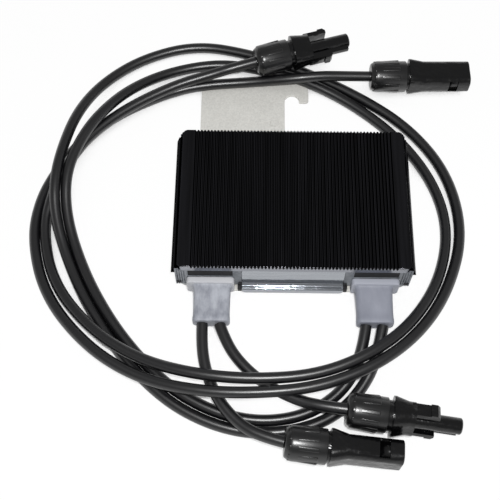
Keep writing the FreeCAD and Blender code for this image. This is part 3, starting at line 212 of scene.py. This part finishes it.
def rolled_aluminium():
    """Rolled bright aluminium sheet: a clean metal with lines along the sheet, and faint dents from handling.

    The rolling lines are drawn wider than they are, so that they show."""
    material, tree, shader, where = new_material("rolled_aluminium", "#93979D", 0.08, 0.85)
    lines = add_node(tree, "ShaderNodeMapping", {}, {"Vector": where, "Scale": (0.04, 1.0, 1.0)})
    grain = add_node(tree, "ShaderNodeTexNoise", {}, {
        "Vector": lines.outputs["Vector"], "Scale": cells(0.667), "Detail": 2.0})
    tone = add_node(tree, "ShaderNodeValToRGB", {"color_ramp": ((0.0, "#85898F"), (1.0, "#A9ADB3"))},
                    {"Fac": grain.outputs["Fac"]})
    tree.links.new(tone.outputs["Color"], shader.inputs["Base Color"])
    dents = add_node(tree, "ShaderNodeTexNoise", {}, {"Vector": where, "Scale": cells(5.56), "Detail": 2.0})
    bump = add_node(tree, "ShaderNodeBump", {}, {
        "Strength": 0.2, "Distance": 0.5 * MM, "Height": dents.outputs["Fac"]})
    tree.links.new(bump.outputs["Normal"], shader.inputs["Normal"])
    return material


def gland_rubber(name, low, high, flange, smear_width):
    """Moulded grey rubber: matt, smeared along the boot where hands have worn it, with another tone on its
    flange."""
    material, tree, shader, where = new_material(name, high, 0.55)
    smear = add_node(tree, "ShaderNodeMapping", {}, {"Vector": where, "Scale": (1.0, 0.45, 1.0)})
    cloud = add_node(tree, "ShaderNodeTexNoise", {}, {
        "Vector": smear.outputs["Vector"], "Scale": cells(smear_width), "Detail": 6.0, "Roughness": 0.65})
    tone = add_node(tree, "ShaderNodeValToRGB", {"color_ramp": ((0.35, low), (0.65, high))},
                    {"Fac": cloud.outputs["Fac"]})
    tree.links.new(toned_by_depth(tree, where, tone.outputs["Color"], flange, GLAND_FLANGE_BAND),
                   shader.inputs["Base Color"])
    return material


def cable_jacket():
    """Cross-linked polyolefin jacket: extruded, satin black, with soft long highlights.

    Its grain is drawn coarser than it is, so that it shows."""
    material, tree, shader, where = new_material("satin_cable_jacket", "#07070A", 0.36,
                                                 Specular_IOR_Level=0.8)
    grain = add_node(tree, "ShaderNodeTexNoise", {}, {"Vector": where, "Scale": cells(1.11), "Detail": 3.0})
    rough = add_node(tree, "ShaderNodeMapRange", {}, {
        "Value": grain.outputs["Fac"], "To Min": 0.32, "To Max": 0.4})
    tree.links.new(rough.outputs["Result"], shader.inputs["Roughness"])
    return material


def satin_polyamide():
    """Moulded black polyamide: satin, with the grain of a spark-eroded mould.

    The grain is drawn coarser than it is, so that it shows."""
    material, tree, shader, where = new_material("satin_black_polyamide", "#070708", 0.3,
                                                 Specular_IOR_Level=0.75)
    grain = add_node(tree, "ShaderNodeTexNoise", {}, {"Vector": where, "Scale": cells(0.5), "Detail": 2.0})
    bump = add_node(tree, "ShaderNodeBump", {}, {
        "Strength": 0.25, "Distance": 0.1 * MM, "Height": grain.outputs["Fac"]})
    tree.links.new(bump.outputs["Normal"], shader.inputs["Normal"])
    return material


def glossy_polycarbonate():
    """Moulded black polycarbonate: glossy, with shallow flow marks that break its highlights into streaks."""
    material, tree, shader, where = new_material("glossy_black_polycarbonate", "#040405", 0.24,
                                                 Specular_IOR_Level=0.45)
    smear = add_node(tree, "ShaderNodeTexNoise", {}, {"Vector": where, "Scale": cells(4), "Detail": 3.0})
    rough = add_node(tree, "ShaderNodeMapRange", {}, {
        "Value": smear.outputs["Fac"], "To Min": 0.18, "To Max": 0.3})
    tree.links.new(rough.outputs["Result"], shader.inputs["Roughness"])
    marks = add_node(tree, "ShaderNodeTexNoise", {}, {"Vector": where, "Scale": cells(5.88), "Detail": 2.0})
    bump = add_node(tree, "ShaderNodeBump", {}, {
        "Strength": 0.6, "Distance": 1 * MM, "Height": marks.outputs["Fac"]})
    tree.links.new(bump.outputs["Normal"], shader.inputs["Normal"])
    return material


def plain_finish(name, low, high, roughness, cell_width, metallic=0.0):
    """A plain material of two near tones, mottled in cells of a width in millimetres."""
    material, tree, shader, where = new_material(name, high, roughness, metallic)
    cloud = add_node(tree, "ShaderNodeTexNoise", {}, {
        "Vector": where, "Scale": cells(cell_width), "Detail": 3.0})
    tone = add_node(tree, "ShaderNodeValToRGB", {"color_ramp": ((0.3, low), (0.7, high))},
                    {"Fac": cloud.outputs["Fac"]})
    tree.links.new(tone.outputs["Color"], shader.inputs["Base Color"])
    return material


def dress(material, *names):
    """Gives CAD nodes their material."""
    for name in names:
        mesh = cad[name].data
        mesh.materials.clear()
        mesh.materials.append(material)


def finished(name, shape, material, node):
    """Makes a bmesh a piece of the object, with smooth curves. It replaces the CAD node, if one is named."""
    bmesh.ops.recalc_face_normals(shape, faces=shape.faces)
    mesh = bpy.data.meshes.new(name)
    shape.to_mesh(mesh)
    shape.free()
    mesh.materials.append(material)
    mesh.polygons.foreach_set("use_smooth", [True] * len(mesh.polygons))
    mesh.set_sharp_from_angle(angle=math.radians(SHARP_ANGLE))
    piece = bpy.data.objects.new(name, mesh)
    bpy.context.scene.collection.objects.link(piece)
    if node:
        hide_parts(node)
    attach(piece, "root")
    return piece


def to_metres(shape, way=Matrix()):
    """Turns and moves a shape that is drawn in millimetres, and then scales it to metres."""
    bmesh.ops.transform(shape, matrix=way, verts=shape.verts)
    bmesh.ops.scale(shape, vec=(MM, MM, MM), verts=shape.verts)


def refined(name, node, material, edge_round):
    """A CAD node's merged copy, its flat faces joined and its sharp edges rounded by edge_round in mm."""
    shape = bmesh.new()
    shape.from_mesh(cad[node].data)
    bmesh.ops.remove_doubles(shape, verts=shape.verts, dist=MERGE_DISTANCE * MM)
    bmesh.ops.dissolve_limit(shape, angle_limit=math.radians(FLAT_ANGLE), verts=shape.verts,
                             edges=shape.edges)
    piece = finished(name, shape, material, node)
    bevel = piece.modifiers.new("edge rounds", "BEVEL")
    bevel.width = edge_round * MM
    bevel.segments = 2
    bevel.limit_method = "ANGLE"
    bevel.angle_limit = math.radians(BEVEL_ANGLE)
    bevel.harden_normals = True
    return piece


def turned(shape, outline, steps):
    """Spins a half outline of (along, radius) points about the X axis."""
    corners = [shape.verts.new((along, radius, 0)) for along, radius in outline]
    sides = [shape.edges.new(pair) for pair in zip(corners, corners[1:])]
    bmesh.ops.spin(shape, geom=corners + sides, cent=(0, 0, 0), axis=(1, 0, 0), angle=math.tau,
                   steps=steps, use_merge=True)


def rounded_face(shape, half_width, half_height, corner):
    """A face in the XZ plane with its four corners rounded."""
    before = set(shape.faces)
    made = bmesh.ops.create_grid(shape, x_segments=1, y_segments=1, size=1.0,
                                 matrix=Matrix.Rotation(math.radians(90), 4, "X"))
    bmesh.ops.scale(shape, vec=(half_width, 1, half_height), verts=made["verts"])
    bmesh.ops.bevel(shape, geom=made["verts"], offset=corner, segments=6, profile=0.5, affect="VERTICES",
                    material=-1)
    return next(face for face in shape.faces if face not in before)


def drawn_out(shape, face, steps):
    """Extrudes a face step by step to the front: each step is its advance, and its growth on each side."""
    for advance, grow_x, grow_z in steps:
        made = bmesh.ops.extrude_discrete_faces(shape, faces=[face])
        face = made["faces"][0]
        middle = face.calc_center_median()
        reach_x = max(abs(vert.co.x - middle.x) for vert in face.verts)
        reach_z = max(abs(vert.co.z - middle.z) for vert in face.verts)
        bmesh.ops.translate(shape, vec=(0, -advance, 0), verts=face.verts)
        bmesh.ops.scale(shape, vec=(1 + grow_x / reach_x, 1, 1 + grow_z / reach_z), verts=face.verts,
                        space=Matrix.Translation(-middle))


class OptimizerSettings(bpy.types.PropertyGroup):
    lead_diameter: FloatProperty(
        name="Lead diameter", description="Outside diameter of each lead", default=0.006, subtype="DISTANCE",
        unit="LENGTH", min=0.004, max=0.008)
    lead_sides: IntProperty(
        name="Lead smoothness", description="Steps in a quarter of a lead's section", default=4, min=2, max=8)
    key_power: FloatProperty(
        name="Key lamp", description="Power of the front lamp", default=2.2, unit="POWER", min=0)
    floor_colour: StringProperty(
        name="Floor colour", description="Colour of the floor, in hex", default="#FAFAFA")


class OPTIMIZER_OT_housing(bpy.types.Operator):
    """Finishes the lid, the tub, the front plate and the strips above the glands, and adds black pieces of
    painted shade
    """
    bl_idname = "optimizer.housing"
    bl_label = "Housing"

    # Black pieces of painted shade on one side, in millimetres: middle across, middle in depth, underside,
    # and size
    SHADE_STOPS = (
        (28.0, -42.45, 2.2, (2.0, 2.7, 4.3)),
        (27.7, -41.6, 6.4, (2.0, 1.0, 1.9)),
        (60.1, -40.2, 6.6, (2.6, 2.4, 2.6)),
    )
    SHADE_STOP_ROUND = 0.3

    def execute(self, context):
        refined("heat_sink_lid", "heatsink_cover", anodised_aluminium(), 0.22)
        refined("die_cast_tub", "housing_tub", cast_aluminium(), 0.25)
        refined("folded_plate", "front_plate", rolled_aluminium(), 0.15)
        # One black material for the strips above the glands, the gasket, and the pieces of painted shade
        black_strip_and_shade = plain_finish("black_strip_and_painted_shade", "#0A0A0C", "#191A1E", 0.8, 1.11)
        dress(black_strip_and_shade, "gland_clamp_left", "gland_clamp_right", "cover_gasket")
        self.add_shade_stops(black_strip_and_shade)
        return {"FINISHED"}

    def add_shade_stops(self, black_strip_and_shade):
        """Black pieces of painted shade, put where the plate's ends and the corners' undersides lie in
        shadow: a post at each end of the plate, a short lip over its bend, and a knob under each corner."""
        shape = bmesh.new()
        for side in (-1, 1):
            for across, depth, underside, size in self.SHADE_STOPS:
                stop = bmesh.ops.create_cube(shape, size=1.0)["verts"]
                bmesh.ops.scale(shape, vec=size, verts=stop)
                bmesh.ops.translate(shape, vec=(side * across, depth, underside + size[2] / 2), verts=stop)
                edges = {edge for vert in stop for edge in vert.link_edges}
                bmesh.ops.bevel(shape, geom=list(edges), offset=self.SHADE_STOP_ROUND, segments=2, profile=0.5,
                                affect="EDGES", material=-1)
        to_metres(shape)
        finished("plate_end_shade_stops", shape, black_strip_and_shade, None)


class OPTIMIZER_OT_bracket(bpy.types.Operator):
    """Finishes the galvanised bracket and all screws"""
    bl_idname = "optimizer.bracket"
    bl_label = "Bracket and screws"

    def execute(self, context):
        refined("hooked_bracket", "mounting_bracket", galvanised_steel(), 0.2)
        dress(plain_finish("zinc_plated_steel", "#6E7072", "#9A9C9E", 0.35, 1.25, metallic=1.0),
              "cover_screws", "bracket_screws", "board_screws")
        return {"FINISHED"}


class OPTIMIZER_OT_glands(bpy.types.Operator):
    """Shapes the two moulded cable glands: a flange, a hollow sweep and a flat boot with a rim"""
    bl_idname = "optimizer.glands"
    bl_label = "Cable glands"

    # In millimetres. Each form starts from a rounded face, given as half its width, half its height and its
    # corners' radius, at a depth and a height. Steps then draw it out to the front.
    FLANGE_ACROSS = 43.3
    FLANGE_FACE = (11.9, 5.7, 1.7)
    FLANGE_START = (-41.02, 8.9)
    FLANGE_STEPS = (
        (0.15, 0.35, 0.35), (0.25, 0.2, 0.2), (0.35, 0.05, 0.05), (2.2, 0, 0), (0.35, -0.05, -0.05),
        (0.18, -0.18, -0.18), (0.08, -0.35, -0.35),
    )
    BOOT_ACROSS = 42.4
    BOOT_FACE = (11.4, 5.3, 3.4)
    BOOT_START = (-43.9, 9.6)
    BOOT_STEPS = (
        (0.68, 0, 0), (0.1, -0.6, -0.35), (0.2, -0.45, -0.22), (0.35, -0.3, -0.15), (0.5, -0.2, -0.1),
        (0.8, -0.1, -0.05), (1.4, -0.05, -0.03), (4.5, -0.12, -0.08), (6.0, -0.1, -0.07), (3.6, 0.1, 0.08),
        (0.35, 0.12, 0.12), (1.9, 0, 0), (0.5, -0.12, -0.12), (0.3, -0.25, -0.25), (0.2, -0.5, -0.5),
        (0.02, -0.9, -0.9),
    )

    def execute(self, context):
        worn = gland_rubber("worn_grey_rubber", "#7E818A", "#A6A9B1", "#B9BABE", 5)
        clean = gland_rubber("clean_grey_rubber", "#7C7F8A", "#8B8E99", "#9DA0AA", 11.1)
        for name, side, rubber in (("input", -1, worn), ("output", 1, clean)):
            shape = bmesh.new()
            self.form(shape, self.FLANGE_FACE, side * self.FLANGE_ACROSS, self.FLANGE_START,
                      self.FLANGE_STEPS)
            self.form(shape, self.BOOT_FACE, side * self.BOOT_ACROSS, self.BOOT_START, self.BOOT_STEPS)
            to_metres(shape)
            finished(name + "_gland_moulding", shape, rubber, name + "_gland")
        return {"FINISHED"}

    def form(self, shape, outline, across, start, steps):
        """One form of a gland, closed at its back."""
        face = rounded_face(shape, *outline)
        bmesh.ops.translate(shape, vec=(across, *start), verts=face.verts)
        drawn_out(shape, face, steps)


class OPTIMIZER_OT_inside(bpy.types.Operator):
    """Finishes what the closed housing holds"""
    bl_idname = "optimizer.inside"
    bl_label = "Inside"

    def execute(self, context):
        dress(plain_finish("green_solder_mask", "#0C3A1E", "#15552C", 0.35, 2), "circuit_board")
        dress(plain_finish("black_epoxy", "#141416", "#222224", 0.5, 1.11), "power_transistors",
              "control_chips", "input_terminals", "output_terminals")
        dress(plain_finish("milled_aluminium", "#A9ACB0", "#C9CCD0", 0.35, 1.67, metallic=1.0),
              "heat_spreader", "input_capacitors", "output_capacitors")
        dress(plain_finish("grey_silicone_pad", "#8A93A0", "#A0A9B5", 0.7, 1.43), "thermal_pad")
        dress(plain_finish("dark_ferrite", "#262729", "#3A3B3E", 0.6, 1.11), "inductor_left",
              "inductor_right")
        dress(plain_finish("tinned_copper", "#A8674A", "#C98C6A", 0.35, 1.11, metallic=1.0),
              "input_tails", "output_tails")
        return {"FINISHED"}


class OPTIMIZER_OT_connectors(bpy.types.Operator):
    """Shapes the domed cap nuts with their grip bars, and finishes the plugs and sockets"""
    bl_idname = "optimizer.connectors"
    bl_label = "Connectors"

    # In millimetres, with each connector along X from its lead's end
    TURN_STEPS = 96
    GRIP_BARS = 11
    BAR_WIDTH = 2.4
    BAR_HEIGHT = 1.3
    BAR_RADIUS = 8.65
    BAR_START = 1.6
    BAR_END_MARGIN = 4.2
    BAR_RAMP = (0.2, -0.75, 0)
    BAR_ROUND = 0.5
    SLEEVE_SIZE = (11.6, 13.0, 7.8)
    SLEEVE_MIDDLE = 51.4
    SLEEVE_WALL = 0.3

    def execute(self, context):
        nylon, polycarbonate = satin_polyamide(), glossy_polycarbonate()
        seal = plain_finish("black_silicone", "#0C0C0C", "#171717", 0.6, 1.25)
        contact = plain_finish("tin_plated_copper", "#B4B2AC", "#D2D0CA", 0.3, 1.11, metallic=1.0)
        for name, (kind, turn, dip, roll) in CONNECTORS.items():
            way = Matrix.Translation(ROUTES[name][-1]) @ Matrix.Rotation(math.radians(turn), 4, "Z") \
                @ Matrix.Rotation(math.radians(dip), 4, "Y") @ Matrix.Rotation(math.radians(roll), 4, "X")
            nut = self.cap_nut(NUT_LENGTHS[kind])
            to_metres(nut, way)
            finished(name + "_cap_nut", nut, nylon, name + "_nut")
            refined(name + "_moulding", name + "_body", polycarbonate, 0.35)
            if kind == "socket":
                self.liner(name, way, polycarbonate)
            dress(seal, name + "_seal")
            dress(contact, name + "_contact")
        return {"FINISHED"}

    def cap_nut(self, length):
        """A turned shell with a rounded dome, and raised grip bars round it."""
        shape = bmesh.new()
        dome = [(0.0, 3.1), (0.0, 6.7), (0.12, 7.05), (0.4, 7.35), (2.3, 8.45), (3.2, 8.72), (4.4, 8.8)]
        rim = [(length - 0.5, 8.8), (length - 0.15, 8.68), (length, 8.4), (length, 7.2)]
        turned(shape, dome + rim, self.TURN_STEPS)
        bar_length = length - self.BAR_START - self.BAR_END_MARGIN
        for k in range(self.GRIP_BARS):
            bar = bmesh.ops.create_cube(shape, size=1.0)["verts"]
            bmesh.ops.scale(shape, vec=(bar_length, self.BAR_HEIGHT, self.BAR_WIDTH), verts=bar)
            bmesh.ops.translate(shape, vec=(self.BAR_START + bar_length / 2, self.BAR_RADIUS, 0), verts=bar)
            ramp = [vert for vert in bar if vert.co.x < length / 2 and vert.co.y > self.BAR_RADIUS]
            bmesh.ops.translate(shape, vec=self.BAR_RAMP, verts=ramp)
            edges = {edge for vert in bar for edge in vert.link_edges}
            rounded = bmesh.ops.bevel(shape, geom=list(edges), offset=self.BAR_ROUND, segments=3,
                                      profile=0.5, affect="EDGES", material=-1)
            corners = {vert for face in rounded["faces"] for vert in face.verts}
            bmesh.ops.rotate(shape, cent=(0, 0, 0), verts=list(corners),
                             matrix=Matrix.Rotation(math.tau * k / self.GRIP_BARS, 3, "X"))
        return shape

    def liner(self, name, way, material):
        """A thin sleeve inside a socket's mouth, open at both ends, which shows black behind the latch
        windows."""
        shape = bmesh.new()
        sleeve = bmesh.ops.create_cube(shape, size=1.0)["verts"]
        bmesh.ops.scale(shape, vec=self.SLEEVE_SIZE, verts=sleeve)
        bmesh.ops.translate(shape, vec=(self.SLEEVE_MIDDLE, 0, 0), verts=sleeve)
        ends = [face for face in shape.faces if abs(face.normal.x) > abs(face.normal.y) + abs(face.normal.z)]
        bmesh.ops.delete(shape, geom=ends, context="FACES_ONLY")
        to_metres(shape, way)
        piece = finished(name + "_liner", shape, material, None)
        wall = piece.modifiers.new("wall", "SOLIDIFY")
        wall.thickness = self.SLEEVE_WALL * MM
        wall.offset = -1.0


class OPTIMIZER_OT_leads(bpy.types.Operator):
    """Lays the four leads along their routes as smooth splines"""
    bl_idname = "optimizer.leads"
    bl_label = "Leads"

    def execute(self, context):
        settings = context.scene.optimizer
        jacket = cable_jacket()
        for name, route in ROUTES.items():
            curve = bpy.data.curves.new(name + "_cable", "CURVE")
            curve.dimensions = "3D"
            curve.resolution_u = 12
            curve.bevel_depth = settings.lead_diameter / 2
            curve.bevel_resolution = settings.lead_sides
            curve.use_fill_caps = True
            spline = curve.splines.new("NURBS")
            spline.points.add(len(route) - 1)
            for point, place in zip(spline.points, route):
                point.co = (*(Vector(place) * MM), 1)
            spline.order_u = 3
            spline.use_endpoint_u = True
            curve.materials.append(jacket)
            lead = bpy.data.objects.new(name + "_cable", curve)
            context.scene.collection.objects.link(lead)
            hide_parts(name + "_lead")
            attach(lead, "root")
        return {"FINISHED"}


class OPTIMIZER_OT_stage(bpy.types.Operator):
    """Builds the pale floor, the soft light and the camera"""
    bl_idname = "optimizer.stage"
    bl_label = "Stage, light and camera"

    # In metres, apart from the angles in degrees and the focal length, which is in the picture's pixels
    FLOOR_REACH = 4.0
    FLOOR_DROP = 0.00002
    KEY_PLACE = (0.004, -0.215, 0.5)
    KEY_SIZE = 0.024
    CAMERA_PLACE = (-0.0205, -0.2345, 0.4632)
    CAMERA_TURN, CAMERA_TILT, CAMERA_ROLL = 0.62, 25, 0.10
    FOCAL_LENGTH = 933
    PICTURE_WIDTH = 500
    SENSOR_WIDTH = 36

    def execute(self, context):
        settings = context.scene.optimizer
        shape = bmesh.new()
        bmesh.ops.create_grid(shape, x_segments=1, y_segments=1, size=self.FLOOR_REACH)
        mesh = bpy.data.meshes.new("floor")
        shape.to_mesh(mesh)
        shape.free()
        mesh.transform(Matrix.Translation((0, 0, -self.FLOOR_DROP)))
        floor = bpy.data.objects.new("floor", mesh)
        context.scene.collection.objects.link(floor)
        mesh.materials.append(self.paper(settings.floor_colour))
        self.sky(context.scene)
        self.lamp(context.scene, settings.key_power)
        self.camera(context.scene)
        context.scene.view_settings.view_transform = "Standard"
        return {"FINISHED"}

    def camera(self, scene):
        """The camera over the front, looking steeply down."""
        camera = bpy.data.objects.new("camera", bpy.data.cameras.new("camera"))
        camera.data.sensor_width = self.SENSOR_WIDTH
        camera.data.lens = self.FOCAL_LENGTH / self.PICTURE_WIDTH * self.SENSOR_WIDTH
        camera.data.clip_start = 0.01
        camera.matrix_world = Matrix.Translation(self.CAMERA_PLACE) \
            @ Matrix.Rotation(math.radians(self.CAMERA_TURN), 4, "Z") \
            @ Matrix.Rotation(math.radians(self.CAMERA_TILT), 4, "X") \
            @ Matrix.Rotation(math.radians(self.CAMERA_ROLL), 4, "Z")
        scene.collection.objects.link(camera)
        scene.camera = camera

    def paper(self, colour):
        """White paper: matt, shown white to the camera and in reflections, with painted shade in the narrow
        gaps between leads that lie on it."""
        material = bpy.data.materials.new("white_paper")
        material.use_nodes = True
        tree = material.node_tree
        tree.nodes.clear()
        path = add_node(tree, "ShaderNodeLightPath", {}, {})
        seen = add_node(tree, "ShaderNodeMath", {"operation": "MAXIMUM"}, {
            0: path.outputs["Is Camera Ray"], 1: path.outputs["Is Glossy Ray"]})
        shown = add_node(tree, "ShaderNodeMath", {"operation": "MAXIMUM"}, {
            0: seen.outputs[0], 1: path.outputs["Is Transmission Ray"]})
        # Painted shade: where ambient occlusion is deep, the white share falls away and the paper shows dark
        reach = add_node(tree, "ShaderNodeAmbientOcclusion", {"samples": 8}, {"Distance": 0.02})
        white_outside_gap_shade = add_node(tree, "ShaderNodeMapRange", {}, {
            "Value": reach.outputs["AO"], "From Min": 0.25, "From Max": 0.45, "To Min": 0.0, "To Max": 0.93})
        share = add_node(tree, "ShaderNodeMath", {"operation": "MULTIPLY"}, {
            0: shown.outputs[0], 1: white_outside_gap_shade.outputs["Result"]})
        matt = add_node(tree, "ShaderNodeBsdfDiffuse", {}, {"Color": linear(colour)})
        white = add_node(tree, "ShaderNodeEmission", {}, {"Color": (1, 1, 1, 1), "Strength": 1.0})
        mixed = add_node(tree, "ShaderNodeMixShader", {}, {
            "Fac": share.outputs[0], 1: matt.outputs[0], 2: white.outputs[0]})
        add_node(tree, "ShaderNodeOutputMaterial", {}, {"Surface": mixed.outputs[0]})
        return material

    def sky(self, scene):
        """A dim ceiling that lights the object softly, and white where the camera looks past the floor."""
        world = bpy.data.worlds.new("studio")
        world.use_nodes = True
        scene.world = world
        tree = world.node_tree
        tree.nodes.clear()
        path = add_node(tree, "ShaderNodeLightPath", {}, {})
        way = add_node(tree, "ShaderNodeTexCoord", {}, {})
        height = add_node(tree, "ShaderNodeSeparateXYZ", {}, {"Vector": way.outputs["Generated"]})
        ceiling = add_node(tree, "ShaderNodeMapRange", {}, {
            "Value": height.outputs["Z"], "From Min": 0.05, "From Max": 0.4, "To Min": 1.0, "To Max": 0.3})
        glossy = add_node(tree, "ShaderNodeMath", {"operation": "MAXIMUM"}, {
            0: path.outputs["Is Glossy Ray"], 1: path.outputs["Is Transmission Ray"]})
        soft = add_node(tree, "ShaderNodeMix", {"data_type": "FLOAT"}, {
            "Factor": glossy.outputs[0], "A": 0.45, "B": ceiling.outputs["Result"]})
        level = add_node(tree, "ShaderNodeMix", {"data_type": "FLOAT"}, {
            "Factor": path.outputs["Is Camera Ray"], "A": soft.outputs["Result"], "B": 1.0})
        light = add_node(tree, "ShaderNodeBackground", {}, {
            "Color": (1, 1, 1, 1), "Strength": level.outputs["Result"]})
        add_node(tree, "ShaderNodeOutputWorld", {}, {"Surface": light.outputs[0]})

    def lamp(self, scene, power):
        """A square soft lamp that faces the housing."""
        light = bpy.data.lights.new("key_lamp", "AREA")
        light.shape = "SQUARE"
        light.size = self.KEY_SIZE
        light.energy = power
        lamp = bpy.data.objects.new("key_lamp", light)
        facing = (-Vector(self.KEY_PLACE)).to_track_quat("-Z", "Y").to_matrix().to_4x4()
        lamp.matrix_world = Matrix.Translation(self.KEY_PLACE) @ facing
        scene.collection.objects.link(lamp)


class OPTIMIZER_PT_panel(bpy.types.Panel):
    """Lists the settings and the operators"""
    bl_idname = "OPTIMIZER_PT_panel"
    bl_label = "Power Optimizer"
    bl_space_type = "VIEW_3D"
    bl_region_type = "UI"
    bl_category = "Power Optimizer"

    def draw(self, context):
        for name in OptimizerSettings.__annotations__:
            self.layout.prop(context.scene.optimizer, name)
        for operator in OPERATORS:
            self.layout.operator(operator.bl_idname)


OPERATORS = (
    OPTIMIZER_OT_housing, OPTIMIZER_OT_bracket, OPTIMIZER_OT_glands, OPTIMIZER_OT_inside,
    OPTIMIZER_OT_connectors, OPTIMIZER_OT_leads, OPTIMIZER_OT_stage,
)
CLASSES = (OptimizerSettings, OPTIMIZER_PT_panel) + OPERATORS


def register():
    for each in CLASSES:
        bpy.utils.register_class(each)
    bpy.types.Scene.optimizer = PointerProperty(type=OptimizerSettings)


def unregister():
    del bpy.types.Scene.optimizer
    for each in reversed(CLASSES):
        bpy.utils.unregister_class(each)


def main():
    register()
    bpy.ops.optimizer.housing()
    bpy.ops.optimizer.bracket()
    bpy.ops.optimizer.glands()
    bpy.ops.optimizer.inside()
    bpy.ops.optimizer.connectors()
    bpy.ops.optimizer.leads()
    bpy.ops.optimizer.stage()
    bpy.context.view_layer.update()


if __name__ == "__main__":
    main()
